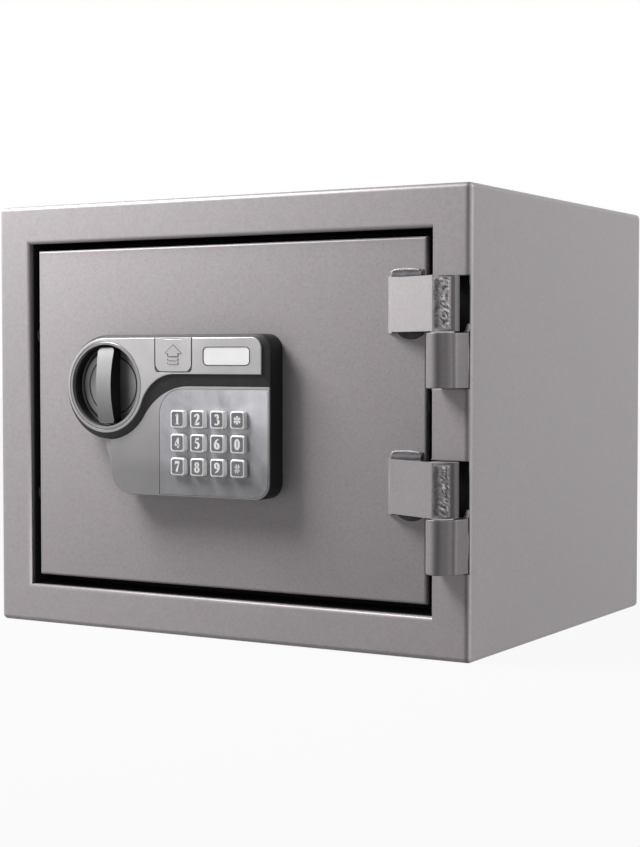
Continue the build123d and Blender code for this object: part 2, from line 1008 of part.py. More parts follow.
def make_drive_cam():
    """Cam disc on the spindle's tang; its pin runs in the carriage's slot."""
    cam = disc(knob_x, knob_z, cam_radius, cam_front, cam_back)
    half = tang_size / 2 + spindle_fit
    cam = cam - plate(
        rect(knob_x - half, knob_x + half, knob_z - half, knob_z + half),
        cam_front - over,
        cam_back + over,
    )
    pin_end = carriage_depth + carriage_sheet + over
    cam = cam + disc(pin_x, pin_z, cam_pin_radius, cam_back - over, pin_end)
    save(cam, "drive_cam")


def make_spindle():
    """Shaft from the knob through the door to the cam."""
    shaft = disc(knob_x, knob_z, spindle_radius, dial_back, cam_front)
    half = tang_size / 2
    shaft = shaft + plate(
        rect(knob_x - half, knob_x + half, knob_z - half, knob_z + half),
        cam_front,
        cam_back,
    )
    save(shaft, "spindle")


# Solenoid
def make_solenoid():
    """Coil in its frame, with the bore that the plunger slides in."""
    low = coil_top - coil_height
    half = coil_width / 2
    near = chassis_back + fit_gap
    far = plunger_depth + (plunger_depth - near)
    left = plunger_x - half
    right = plunger_x + half
    body = block(left, right, near, far, low, low + coil_frame)
    body = body + block(left, right, near, far, coil_top - coil_frame, coil_top)
    body = body + block(left, right, near, near + coil_frame, low, coil_top)
    coil = plunger_depth - near - coil_air
    body = body + post(plunger_x, plunger_depth, coil, low + over, coil_top - over)
    bore = plunger_radius + spring_gap
    body = body - post(plunger_x, plunger_depth, bore, low + coil_floor, coil_top + over)
    save(body, "solenoid")


def collar_low():
    """Underside of the plunger's collar, which stays below the catch when thrown."""
    return catch_level - collar_gap - plunger_travel - collar_sheet


def make_solenoid_plunger():
    """Plunger with the collar that its spring pushes on."""
    low = coil_top - coil_height + coil_floor + coil_frame
    plunger = post(plunger_x, plunger_depth, plunger_radius, low, catch_level - tip_gap)
    rim = plunger_radius + collar_rim
    collar = post(plunger_x, plunger_depth, rim, collar_low(), collar_low() + collar_sheet)
    save(plunger + collar, "solenoid_plunger")


def make_plunger_spring():
    """Return spring between the coil's frame and the collar, as a plain sleeve."""
    low = coil_top + spring_gap
    high = collar_low() - spring_gap
    inside = plunger_radius + running_play
    sleeve = post(plunger_x, plunger_depth, inside + spring_wall, low, high)
    bore = post(plunger_x, plunger_depth, inside, low - over, high + over)
    save(sleeve - bore, "plunger_spring")


# Lock panel
def raised_outline(x, z, ring, corner, right, low, sweep):
    """Front outline of the raised cover.

    A ring round the knob runs tangent into the top edge. The lower edge sweeps down from the
    right in a reverse curve, tangent to the same ring.
    """
    top = z + ring
    drop = low - sweep - z
    reach = math.sqrt((ring + sweep) ** 2 - drop**2)
    share = ring / (ring + sweep)
    meet = (x + reach * share, z + drop * share)
    sweep_start = (x + reach, low)
    turn = (math.pi / 2 + math.atan2(-drop, -reach)) / 2
    sweep_middle = (
        x + reach + sweep * math.cos(turn),
        low - sweep + sweep * math.sin(turn),
    )
    round_turn = (math.atan2(drop, reach) - 1.5 * math.pi) / 2
    ring_middle = (x + ring * math.cos(round_turn), z + ring * math.sin(round_turn))
    slant = corner * (1 - math.sqrt(0.5))
    return make_face(
        [
            Line((x, top), (right - corner, top)),
            ThreePointArc(
                (right - corner, top), (right - slant, top - slant), (right, top - corner)
            ),
            Line((right, top - corner), (right, low)),
            Line((right, low), sweep_start),
            ThreePointArc(sweep_start, sweep_middle, meet),
            ThreePointArc(meet, ring_middle, (x, top)),
        ]
    )


def face_outline():
    return raised_outline(
        knob_x, knob_z, face_ring, face_corner, face_right, face_low, face_sweep
    )


def bevel_outline(grow):
    """Foot of the raised cover's dark bevel, grown evenly where asked."""
    return raised_outline(
        bevel_x,
        bevel_z,
        bevel_ring + grow,
        bevel_corner + grow,
        panel_right + grow,
        bevel_low - grow,
        bevel_sweep - grow,
    )


def lower_outline(inset):
    """Outline of the panel's lower part, its two lower corners rounded."""
    left = panel_left + inset
    right = panel_right - inset
    low = panel_low + inset
    shape = rect(left, right, low, bevel_low)
    corners = shape.vertices().sort_by(Axis.Y)[0:2].sort_by(Axis.X)
    shape = fillet(corners[0], lower_left_corner - inset)
    corners = shape.vertices().sort_by(Axis.Y)[0:2].sort_by(Axis.X)
    return fillet(corners[-1], lower_right_corner - inset)


def neck_outline(inset):
    """The hollow flank that runs from under the ring down into the lower part."""
    high = bevel_z - bevel_ring + neck_rise
    low = high - neck_length
    root = panel_left + neck_root
    start = (panel_left - neck_reach + inset, high)
    end = (panel_left + inset, low)
    slope = math.atan2(neck_length, neck_reach)
    middle = (
        (start[0] + end[0]) / 2 + neck_bow * math.sin(slope),
        (high + low) / 2 - neck_bow * math.cos(slope),
    )
    return make_face(
        [
            ThreePointArc(start, middle, end),
            Line(end, (root, low)),
            Line((root, low), (root, high)),
            Line((root, high), start),
        ]
    )


def neck_scoop(grow):
    """The upright cylinder that hollows the neck, from the keypad's face down to its edge."""
    radius = (neck_reach**2 + neck_fall**2) / (2 * neck_fall)
    middle = keypad_front + neck_fall - radius
    low = panel_low
    return post(panel_left - neck_reach, middle, radius + grow, low, bevel_z)


def panel_outline():
    """The whole panel's silhouette."""
    return bevel_outline(0) + lower_outline(0) + neck_outline(0)


def make_lock_base():
    """Black housing against the door: a walled tray with screw posts."""
    outline = panel_outline()
    tray = plate(outline, base_front, base_back)
    hollow = offset(outline, amount=-base_wall)
    tray = tray - plate(hollow, base_front - over, base_back - base_floor)
    tray = tray - neck_scoop(keypad_sheet + seam)
    thread = screw_radius + thread_fit
    for x, z in panel_screw_places:
        behind = cup_back if x < knob_x + cup_radius else board_back
        tray = tray + disc(x, z, panel_post_radius, behind + fit_gap, base_back)
        tray = tray - disc(x, z, thread, base_back - panel_thread, base_back + over)
    tray = tray - disc(knob_x, knob_z, spindle_radius + fit_gap, 0, base_back + over)
    tray = tray - disc(wire_x, wire_z, wire_hole, 0, base_back + over)
    save(tray, "lock_base")


def make_panel_screws():
    screws = []
    for x, z in panel_screw_places:
        shank = disc(x, z, screw_radius, base_back - panel_grip, chamber)
        head = disc(x, z, screw_head, chamber, chamber + flat_head_height)
        screws.append(shank + head)
    save(joined(screws), "panel_screws")


def make_bevel_trim():
    """Dark bevelled frame: a sloping band of changing width round the raised cover."""
    slope = loft(
        [front_plane(bevel_front) * face_outline(), front_plane(bevel_back) * bevel_outline(0)],
        ruled=True,
    )
    trim = slope + plate(bevel_outline(0), bevel_back, base_front)
    near = bevel_front - over
    far = base_front + over
    trim = trim - disc(knob_x, knob_z, cup_radius + cup_wall + seam, near, far)
    trim = trim - disc(override_x, override_z, cylinder_radius + seam, near, far)
    save(trim, "bevel_trim")


def cover_profile(margin):
    """The sliding cover's outline: round lower corners, straight to the top edge."""
    top = knob_z + face_ring
    shape = rect(cover_left - margin, cover_right + margin, cover_low - margin, top)
    corners = shape.vertices().sort_by(Axis.Y)[0:2]
    return fillet(corners, cover_corner + margin)


def window_profile(margin):
    return rect(
        window_left - margin,
        window_right + margin,
        window_low - margin,
        window_high + margin,
        window_corner + margin,
    )


def make_upper_fascia():
    """Satin plate on the raised part, open for the knob, the cover and the window."""
    fascia = plate(face_outline(), face_front, bevel_front)
    lip = cup_radius + cup_lip + seam
    near = face_front - over
    far = bevel_front + over
    fascia = fascia - disc(knob_x, knob_z, lip, near, far)
    fascia = fascia - plate(cover_profile(cover_groove), near, far)
    fascia = fascia - plate(window_profile(seam), near, far)
    top = fascia.faces().sort_by(Axis.Y)[0]
    fascia = chamfer(top.outer_wire().edges(), fascia_edge)
    save(fascia, "upper_fascia")


def make_override_cover():
    """Cover that slides up off the override lock."""
    top = knob_z + face_ring
    cover = plate(cover_profile(0), face_front, face_front + cover_sheet)
    grip = rect(
        override_x - cover_notch, override_x + cover_notch, top - 2 * cover_groove, top - cover_groove
    )
    notch = plate(grip, face_front - over, face_front + fascia_edge)
    save(cover - notch, "override_cover")


def make_display_window():
    """Bare polished plate set in the upper fascia."""
    window = plate(window_profile(0), face_front + window_set, bevel_front)
    save(window, "display_window")


def make_key_cylinder():
    """Housing of the override lock, under the sliding cover."""
    near = bevel_front + cylinder_set
    far = base_back - base_floor
    body = disc(override_x, override_z, cylinder_radius, near, far)
    running = plug_radius + plug_running_fit
    bore = disc(override_x, override_z, running, near - over, far - cylinder_floor)
    save(body - bore, "key_cylinder")


def make_key_plug():
    """Turning plug with its keyway."""
    near = bevel_front + cylinder_set
    far = base_back - base_floor - cylinder_floor - cylinder_set
    plug = disc(override_x, override_z, plug_radius, near, far)
    keyway = Pos(override_x, override_z) * Rectangle(keyway_width, keyway_height)
    save(plug - plate(keyway, near - over, near + keyway_depth), "key_plug")


def film_outline(margin):
    """The gloss film's outline: a large round corner towards the knob."""
    right = panel_right - film_edge_inset + margin
    low = panel_low + film_edge_inset - margin
    high = bevel_low - film_top_inset + margin
    shape = rect(film_left - margin, right, low, high)
    corner = shape.vertices().sort_by(Axis.Y)[2:4].sort_by(Axis.X)[0]
    shape = fillet(corner, film_corner + margin)
    corner = shape.vertices().sort_by(Axis.Y)[0:2].sort_by(Axis.X)[-1]
    return fillet(corner, lower_right_corner - film_edge_inset + margin)


def key_places():
    """Centres of the keys, row by row from the upper left."""
    names = ("1", "2", "3", "star", "4", "5", "6", "0", "7", "8", "9", "hash")
    places = {}
    for count, name in enumerate(names):
        row, column = divmod(count, 4)
        places[name] = (first_key_x + column * key_pitch, first_key_z - row * key_pitch)
    return places


def key_holes(margin, near, far):
    """The openings that the keys come through."""
    holes = []
    for x, z in key_places().values():
        half_width = key_width / 2 + margin
        half_height = key_height / 2 + margin
        outline = rect(
            x - half_width, x + half_width, z - half_height, z + half_height, key_corner + margin
        )
        holes.append(plate(outline, near, far))
    return holes


def make_lower_fascia():
    """Satin cover of the keypad side with its hollow neck, recessed for the film."""
    outline = lower_outline(seam) + neck_outline(seam) - bevel_outline(seam)
    fascia = plate(outline, keypad_front, keypad_back)
    neck = plate(neck_outline(seam) - bevel_outline(seam), keypad_front, base_back)
    fascia = fascia + (neck & neck_scoop(keypad_sheet)) - neck_scoop(0)
    edge = film_margin - fascia_margin
    bed = film_outline(film_groove) & (lower_outline(edge) - bevel_outline(edge))
    fascia = fascia - plate(bed, keypad_front - over, keypad_front + film_sheet)
    for hole in key_holes(key_gap, keypad_front - over, keypad_back + over):
        fascia = fascia - hole
    save(fascia, "lower_fascia")


def make_keypad_film():
    """Gloss film round the keys."""
    outline = film_outline(0) & (lower_outline(film_margin) - bevel_outline(film_margin))
    film = plate(outline, keypad_front, keypad_front + film_sheet)
    for hole in key_holes(key_gap, keypad_front - over, keypad_front + film_sheet + over):
        film = film - hole
    save(film, "keypad_film")


def make_keys():
    """Twelve keys, each with a retaining flange behind the fascia."""
    for name, (x, z) in key_places().items():
        half_width = key_width / 2
        half_height = key_height / 2
        outline = rect(
            x - half_width, x + half_width, z - half_height, z + half_height, key_corner
        )
        cap = plate(outline, key_front, flange_front)
        top = cap.faces().sort_by(Axis.Y)[0]
        cap = chamfer(top.edges(), key_bevel)
        half_width = half_width + key_flange
        half_height = half_height + key_flange
        flange = rect(x - half_width, x + half_width, z - half_height, z + half_height)
        save(cap + plate(flange, flange_front, flange_back), f"key_{name}")


def pad_limits():
    """Left, right, low and high of the keypad's rubber and board."""
    reach = key_pitch / 2
    right = first_key_x + 3 * key_pitch + reach
    return first_key_x - reach, right, first_key_z - 2 * key_pitch - reach, first_key_z + reach


def make_keypad_rubber():
    save(plate(rect(*pad_limits(), board_corner), rubber_front, rubber_back), "keypad_rubber")


def make_circuit_board():
    """Board behind the rubber, with its controller and buzzer."""
    left, right, low, high = grown(pad_limits(), board_margin)
    board = plate(rect(left, right, low, high), board_front, board_back)
    centre = chip_size / 2 + chip_inset
    chip = Pos(right - centre, high - centre) * Rectangle(chip_size, chip_size)
    board = board + plate(chip, board_back, board_back + board_sheet)
    x = left + 2 * buzzer_radius
    buzzer = disc(x, high - 2 * buzzer_radius, buzzer_radius, board_back, board_back + buzzer_height)
    save(board + buzzer, "circuit_board")


# Knob
def make_knob_bezel():
    """Cup that the knob sits in, with a lip round its mouth."""
    wall = cup_radius + cup_wall
    lip = cup_radius + cup_lip
    profile = (
        (cup_radius, cup_front),
        (lip - cup_edge, cup_front),
        (lip, cup_front + cup_edge),
        (lip, bevel_front),
        (wall, bevel_front),
        (wall, cup_back),
        (spindle_radius + fit_gap, cup_back),
        (spindle_radius + fit_gap, cup_back - cup_floor),
        (cup_radius - cup_fillet, cup_back - cup_floor),
        (cup_radius, cup_back - cup_floor - cup_fillet),
    )
    save(turned(knob_x, knob_z, profile), "knob_bezel")


def grip_outline():
    """Front view of the grip: waisted sides between two nearly straight ends."""
    half_end = grip_end_width / 2
    half_waist = grip_waist_width / 2
    half = grip_length / 2
    shape = make_face(
        [
            ThreePointArc(
                (knob_x - half_end, knob_z - half),
                (knob_x - half_waist, knob_z),
                (knob_x - half_end, knob_z + half),
            ),
            Line((knob_x - half_end, knob_z + half), (knob_x + half_end, knob_z + half)),
            ThreePointArc(
                (knob_x + half_end, knob_z + half),
                (knob_x + half_waist, knob_z),
                (knob_x + half_end, knob_z - half),
            ),
            Line((knob_x + half_end, knob_z - half), (knob_x - half_end, knob_z - half)),
        ]
    )
    return fillet(shape.vertices(), grip_corner)


def make_knob():
    """Round dial with a groove and an arched grip across it."""
    profile = (
        (0, dial_front),
        (dial_groove - groove_half, dial_front),
        (dial_groove, dial_front + groove_half),
        (dial_groove + groove_half, dial_front),
        (dial_radius - groove_half, dial_front),
        (dial_radius, dial_front + groove_half),
        (dial_radius, dial_back),
        (0, dial_back),
    )
    dial = turned(knob_x, knob_z, profile)
    crown = face_front - grip_stand
    near = front_y + crown
    shoulder = near + grip_crown
    back = front_y + dial_front - running_play
    top = knob_z + grip_length / 2 + over
    foot = knob_z - grip_length / 2 - over
    arch = Plane(origin=(knob_x - grip_end_width, 0, 0), x_dir=(0, 1, 0), z_dir=(1, 0, 0))
    side = make_face(
        [
            ThreePointArc((shoulder, foot), (near, knob_z), (shoulder, top)),
            Line((shoulder, top), (back, top)),
            Line((back, top), (back, foot)),
            Line((back, foot), (shoulder, foot)),
        ]
    )
    bar = extrude(arch * side, amount=2 * grip_end_width)
    bar = bar & plate(grip_outline(), crown - over, dial_front)
    hub = disc(knob_x, knob_z, hub_radius, dial_front - 2 * over, dial_front + groove_half)
    save(dial + bar + hub, "knob")


def make_wire_harness():
    """Lead from the board through the door's face to the solenoid."""
    end_x = plunger_x + coil_width / 2
    end_z = coil_top - coil_height / 2
    depth = plunger_depth
    path = FilletPolyline(
        (wire_x, front_y + board_back, wire_z),
        (wire_x, front_y + depth, wire_z),
        (wire_x, front_y + depth, end_z),
        (end_x, front_y + depth, end_z),
        radius=wire_bend,
    )
    start = Plane(origin=path @ 0, z_dir=path % 0)
    save(sweep(start * Circle(wire_radius), path=path), "wire_harness")


# Fittings in the cavity
def make_shelf():
    """Lift-out shelf with a turned front and rear lip."""
    half = cavity - shelf_side_gap
    near = plug_back + shelf_front_gap
    far = cavity_back - shelf_back_gap
    top = shelf_level + shelf_sheet
    shelf = block(-half, half, near, far, shelf_level, top)
    shelf = shelf + block(-half, half, near, near + shelf_sheet, top - shelf_lip, top)
    shelf = shelf + block(-half, half, far - shelf_sheet, far, top - shelf_lip, top)
    save(shelf, "shelf")


def make_shelf_rails():
    """Angle rails on the liner's sides that the shelf lies on."""
    near = plug_back + shelf_front_gap + shelf_sheet + rail_end_gap
    far = cavity_back - shelf_back_gap - shelf_sheet - rail_end_gap
    rails = []
    for side in (-1, 1):
        wall = block(
            cavity - rail_sheet, cavity, near, far, shelf_level - rail_size, shelf_level
        )
        ledge = block(
            cavity - rail_size, cavity, near, far, shelf_level - rail_sheet, shelf_level
        )
        rail = wall + ledge
        rails.append(rail if side > 0 else mirror(rail, about=Plane.YZ))
    save(joined(rails), "shelf_rails")


def make_floor_mat():
    """Felt mat on the cavity's floor, open over the anchor holes."""
    half = cavity - cavity_corner - fit_gap
    mat = block(
        -half,
        half,
        plug_back + mat_front_gap,
        cavity_back - fit_gap,
        cavity_low,
        cavity_low + mat_thickness,
    )
    for hole in anchor_holes(anchor_radius + mat_hole_margin):
        mat = mat - hole
    save(mat, "floor_mat")


make_front_frame()
make_outer_shell()
make_back_panel()
make_inner_liner()
make_liner_back()
make_wall_insulation()
make_strike_box()
make_fixed_bolt_box()
make_hinge_leaves()
make_frame_knuckles()
make_hinge_pins()
make_hinge_washers()
make_door_plate()
make_door_pan()
make_door_insulation()
make_door_seal()
make_pan_screws()
make_battery_box()
make_batteries()
make_battery_lid()
make_bolt_carriage()
make_live_bolts()
make_bolt_guides()
make_fixed_bolts()
make_lock_chassis()
make_drive_cam()
make_spindle()
make_solenoid()
make_solenoid_plunger()
make_plunger_spring()
make_lock_base()
make_panel_screws()
make_bevel_trim()
make_upper_fascia()
make_override_cover()
make_display_window()
make_key_cylinder()
make_key_plug()
make_lower_fascia()
make_keypad_film()
make_keys()
make_keypad_rubber()
make_circuit_board()
make_knob_bezel()
make_knob()
make_wire_harness()
make_shelf()
make_shelf_rails()
make_floor_mat()
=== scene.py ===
"""Finishes, printed keys, weld beads, light and camera for the fireproof electronic safe.

Every piece is placed in the safe's own frame: X along the width, Z up, the front facing -Y.
Helpers take millimetres, with depth measured into the body from the frame's front face.
"""

import json
from math import atan2, cos, degrees, exp, hypot, pi, radians, sin, sqrt

import bmesh
import bpy
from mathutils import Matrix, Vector, noise


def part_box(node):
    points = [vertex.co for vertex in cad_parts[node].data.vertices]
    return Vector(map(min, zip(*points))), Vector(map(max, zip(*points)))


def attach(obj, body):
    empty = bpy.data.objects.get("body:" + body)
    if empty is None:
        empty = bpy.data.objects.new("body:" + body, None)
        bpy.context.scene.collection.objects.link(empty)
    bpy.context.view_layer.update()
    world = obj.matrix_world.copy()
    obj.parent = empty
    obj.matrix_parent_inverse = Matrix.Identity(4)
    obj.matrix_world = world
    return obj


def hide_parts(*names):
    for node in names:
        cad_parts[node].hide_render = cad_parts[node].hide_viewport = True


MM = 0.001
MM_PER_METRE = 1000.0
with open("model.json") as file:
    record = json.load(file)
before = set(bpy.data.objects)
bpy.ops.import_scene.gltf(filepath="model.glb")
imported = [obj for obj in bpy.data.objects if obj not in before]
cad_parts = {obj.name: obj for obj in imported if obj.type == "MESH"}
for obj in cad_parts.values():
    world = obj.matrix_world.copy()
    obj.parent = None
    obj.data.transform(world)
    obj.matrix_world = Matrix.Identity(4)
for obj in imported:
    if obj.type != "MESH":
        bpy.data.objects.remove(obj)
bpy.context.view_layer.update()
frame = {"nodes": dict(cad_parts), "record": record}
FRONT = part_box("front_frame")[0].y / MM
BODY_OF = {
    node: body for body, nodes in frame["record"]["behaviour"]["bodies"].items() for node in nodes
}
SLOT_OF = {part["node"]: part["material_slot"] for part in frame["record"]["subparts"]}

# Places read off the part's own sizes, in millimetres
KNOB = (-93.3, 194.8)
CUP_RADIUS = 32.0
KEY_FACE = -18.2
KEY_PITCH = 18.2
KEY_COLUMNS = [-24.1 + KEY_PITCH * count for count in range(4)]
KEY_ROWS = [169.8 - KEY_PITCH * count for count in range(3)]
KEY_NAMES = ("1", "2", "3", "star", "4", "5", "6", "0", "7", "8", "9", "hash")
FASCIA = -17.5
COVER_X = -28.25
COVER = (-45.15, -11.35, 205.85, 231.8)
WINDOW = (-0.5, 41.0, 211.0, 224.5)
DOOR_FACE = 4.5
DOORWAY = (-184.0, 184.0, 31.0, 309.0)
BODY_HALF = 215.0
BODY_HEIGHT = 340.0
HINGE = (197.5, -10.0)
HINGE_LEVELS = (104.0, 235.0)
KNUCKLE = 39.0
BARREL = 11.7
LEAF_TOE = 154.5
LEAF_MIDDLE = 180.0
POCKET_RIGHT = 213.0
SKIN_ROOM = 0.8

# Colours, linear
PEWTER = (0.36, 0.335, 0.344)
# Lighter than the pewter, as painted light: the tone of the door's hinge halves, their weld paint
# and weld beads
LEAF_LIT_TONE = (0.43, 0.405, 0.412)
SILVER = (0.455, 0.442, 0.444)
BLACK = (0.006, 0.006, 0.0065)
# Black for painted shade deep in gaps and recesses
PAINTED_SHADE_BLACK = (0.004, 0.004, 0.004)
SLEEVE = (0.02, 0.02, 0.022)
# Painted shade: the lower hinge darker than the upper
LEAF_SHADE_FADE = ("Z", 143.0, 235.0, 0.68, 0.97)


def at(x, depth, z):
    """A point given by x, depth and height in millimetres, in the row frame."""
    return Vector((x, FRONT + depth, z)) * MM


def toned(colour, factor, lift=0.0):
    """A colour made darker or lighter."""
    return tuple(min(1.0, part * factor + lift) for part in colour)


# Node trees
class Tree:
    """Steps that shader trees and Geometry Nodes trees share."""

    family = "ShaderNode"

    def __init__(self, tree):
        self.tree = tree

    def put(self, socket, value):
        """Links another socket to this one, or sets its value."""
        if isinstance(value, bpy.types.NodeSocket):
            self.tree.links.new(value, socket)
        else:
            socket.default_value = value

    def node(self, kind, **own):
        """A new node with its settings, in small letters and first, and its inputs."""
        made = self.tree.nodes.new(kind if "Node" in kind else self.family + kind)
        for key, value in own.items():
            if key.islower():
                setattr(made, key, value)
            else:
                self.put(made.inputs[key.replace("_", " ")], value)
        return made

    def step(self, kind, **own):
        """First output of a new node."""
        return self.node(kind, **own).outputs[0]

    def maths(self, kind, *values):
        made = self.node("ShaderNodeMath", operation=kind)
        for socket, value in zip(made.inputs, values):
            self.put(socket, value)
        return made.outputs[0]

    def minus(self, first, second):
        return self.maths("SUBTRACT", first, second)

    def most(self, first, second):
        return self.maths("MAXIMUM", first, second)

    def product(self, first, *others):
        for other in others:
            first = self.maths("MULTIPLY", first, other)
        return first

    def seen_rays(self):
        """1 for rays that the camera sees straight, mirrored or through glass, else 0."""
        paths = self.node("ShaderNodeLightPath").outputs
        either = self.most(paths["Is Camera Ray"], paths["Is Glossy Ray"])
        return self.most(either, paths["Is Transmission Ray"])


class Finish(Tree):
    """A procedural finish on Principled BSDF, with patterns read from Object coordinates."""

    def __init__(self, name, colour, roughness, metallic=0.0, **own):
        self.material = bpy.data.materials.new(name)
        self.material.use_nodes = True
        super().__init__(self.material.node_tree)
        self.shader = self.tree.nodes["Principled BSDF"]
        self.place = self.node("TexCoord").outputs["Object"]
        self.height = None
        self.use("Base Color", (*colour, 1.0))
        self.use("Roughness", roughness)
        self.use("Metallic", metallic)
        for socket, value in own.items():
            self.use(socket.replace("_", " "), value)

    def use(self, socket, value):
        """Gives one of the shader's inputs a pattern or a plain value."""
        self.put(self.shader.inputs[socket], value)

    def now(self, socket):
        """The pattern on one of the shader's inputs so far."""
        return self.shader.inputs[socket].links[0].from_socket

    # Patterns
    def axis(self, name):
        """Place along X, Y or Z, in metres."""
        return self.node("SeparateXYZ", Vector=self.place).outputs[name]

    def stretched(self, stretch, turn=(0.0, 0.0, 0.0)):
        return self.step("Mapping", Vector=self.place, Scale=stretch, Rotation=turn)

    def noise(self, size, detail=3.0, rough=0.55, where=None, warp=0.0):
        """Soft noise whose blotches are about size millimetres across."""
        return self.step(
            "TexNoise", Vector=where or self.place, Scale=MM_PER_METRE / size,
            Detail=detail, Roughness=rough, Distortion=warp,
        )

    def cells(self, size, where=None, smooth=None):
        """Distance pattern of cells about size millimetres across."""
        own = {} if smooth is None else {"feature": "SMOOTH_F1", "Smoothness": smooth}
        own.update(Vector=where or self.place, Scale=MM_PER_METRE / size)
        return self.step("TexVoronoi", **own)

    def span(self, value, low, high, from_low=0.0, from_high=1.0):
        """Runs from low to high as a value runs over the second pair."""
        return self.step(
            "MapRange", Value=value, From_Min=from_low, From_Max=from_high,
            To_Min=low, To_Max=high,
        )

    def over(self, value, low, high):
        """Runs from 0 to 1 as a value runs from low to high."""
        return self.span(value, 0.0, 1.0, low, high)

    def both(self, first, share, second):
        """Two patterns added up, the first with this share and the second with the rest."""
        return self.maths("MULTIPLY_ADD", first, share, self.product(second, 1.0 - share))

    def blend(self, share, first, second, kind="MIX"):
        """Colour between first and second by share."""
        made = self.node("Mix", data_type="RGBA", blend_type=kind)
        for entry, value in ((0, share), (6, first), (7, second)):
            self.put(made.inputs[entry], (*value, 1.0) if isinstance(value, tuple) else value)
        return made.outputs[2]

    def fade(self, axis, near, far, near_tone, far_tone):
        """Factor that runs from one tone to another between two places, in millimetres."""
        return self.span(self.axis(axis), near_tone, far_tone, near * MM, far * MM)

    def band(self, value, middle, width, tone):
        """Factor that dips or rises to a tone round one value, and is 1 elsewhere."""
        away = self.maths("DIVIDE", self.minus(value, middle), width)
        bell = self.maths("EXPONENT", self.product(away, away, -1.0))
        return self.maths("MULTIPLY_ADD", bell, tone - 1.0, 1.0)

    def eased(self, factor, share):
        """A factor that counts by share only, and is 1 elsewhere."""
        return self.maths("MULTIPLY_ADD", self.minus(factor, 1.0), share, 1.0)

    def inside(self, value, low, high):
        """1 where a value lies between two limits in millimetres."""
        above = self.maths("GREATER_THAN", value, low * MM)
        return self.product(above, self.maths("LESS_THAN", value, high * MM))

    def knob_ring(self, low, high):
        """1 where the distance from the knob's axis lies between two limits."""
        x, z = (self.minus(self.axis(a), c * MM) for a, c in zip("XZ", KNOB))
        squares = self.maths("ADD", self.product(x, x), self.product(z, z))
        return self.inside(self.maths("SQRT", squares), low, high)

    def barrel_angle(self):
        """Angle round the hinge's axis in degrees, 90 at the front."""
        x = self.minus(self.axis("X"), HINGE[0] * MM)
        y = self.minus((FRONT + HINGE[1]) * MM, self.axis("Y"))
        return self.product(self.maths("ARCTAN2", y, x), degrees(1.0))

    # Effects on the shader
    def colour(self, share, first, second):
        self.use("Base Color", self.blend(share, first, second))

    def gloss(self, value, low, high, from_low=0.0, from_high=1.0):
        self.use("Roughness", self.span(value, low, high, from_low, from_high))

    def bump(self, height, depth_mm, strength=0.5):
        under = {"Normal": self.height} if self.height else {}
        self.height = self.step(
            "Bump", Height=height, Distance=depth_mm * MM, Strength=strength, **under
        )
        self.use("Normal", self.height)
        return self

    def shade(self, factor):
        """Multiplies the colour so far by a factor."""
        grey = self.step("CombineXYZ", X=factor, Y=factor, Z=factor)
        self.use("Base Color", self.blend(1.0, self.now("Base Color"), grey, "MULTIPLY"))
        return self

    def lay_over(self, share, colour, rougher):
        """Lays a plain dull colour over the finish by share."""
        self.colour(share, self.now("Base Color"), colour)
        rough = self.maths("MULTIPLY_ADD", share, rougher, self.now("Roughness"))
        self.use("Roughness", rough)
        metallic = self.shader.inputs["Metallic"].default_value
        self.use("Metallic", self.span(share, metallic, 0.0))
        return self

    def painted_shade_behind(self, limits, start, full):
        """Fades to black by depth, inside front-view limits in millimetres: painted shade in gaps
        and recesses.
        """
        covered = 0.0
        for left, right, low, high in limits:
            wide = self.inside(self.axis("X"), left, right)
            tall = self.inside(self.axis("Z"), low, high)
            covered = self.most(covered, self.product(wide, tall))
        deep = self.fade("Y", FRONT + start, FRONT + full, 0.0, 1.0)
        self.lay_over(self.product(deep, covered), PAINTED_SHADE_BLACK, 0.35)
        self.use("Coat Weight", 0.0)
        return self


# Paints
def satin_paint(name, colour, metallic=0.18, grain=1.0):
    """Pewter-coloured metallic paint with orange peel, fine grain and faint clouding."""
    finish = Finish(
        name, colour, 0.4, metallic, Coat_Weight=0.05, Coat_Roughness=0.3, Specular_IOR_Level=0.3
    )
    fine = finish.noise(0.8, 2.0, 0.6)
    mottle = finish.noise(3.0, 3.0, 0.6)
    drift = finish.noise(16.0)
    share = finish.both(fine, 0.6, mottle)
    tone = finish.blend(finish.over(share, 0.3, 0.7), toned(colour, 0.78), toned(colour, 1.2))
    red, green, blue = colour
    warm = (red * 1.03, green * 0.97, blue * 0.99)
    cool = (red * 0.97, green, blue * 0.99)
    tone = finish.blend(0.45, tone, finish.blend(finish.over(drift, 0.35, 0.65), warm, cool))
    flecks = finish.maths("GREATER_THAN", finish.noise(1.3, 1.0, 0.4), 0.69)
    finish.colour(finish.product(flecks, 0.45), tone, toned(colour, 0.72))
    finish.gloss(share, 0.34, 0.48, 0.3, 0.7)
    finish.bump(mottle, 0.035 * grain)
    return finish.bump(fine, 0.018 * grain)


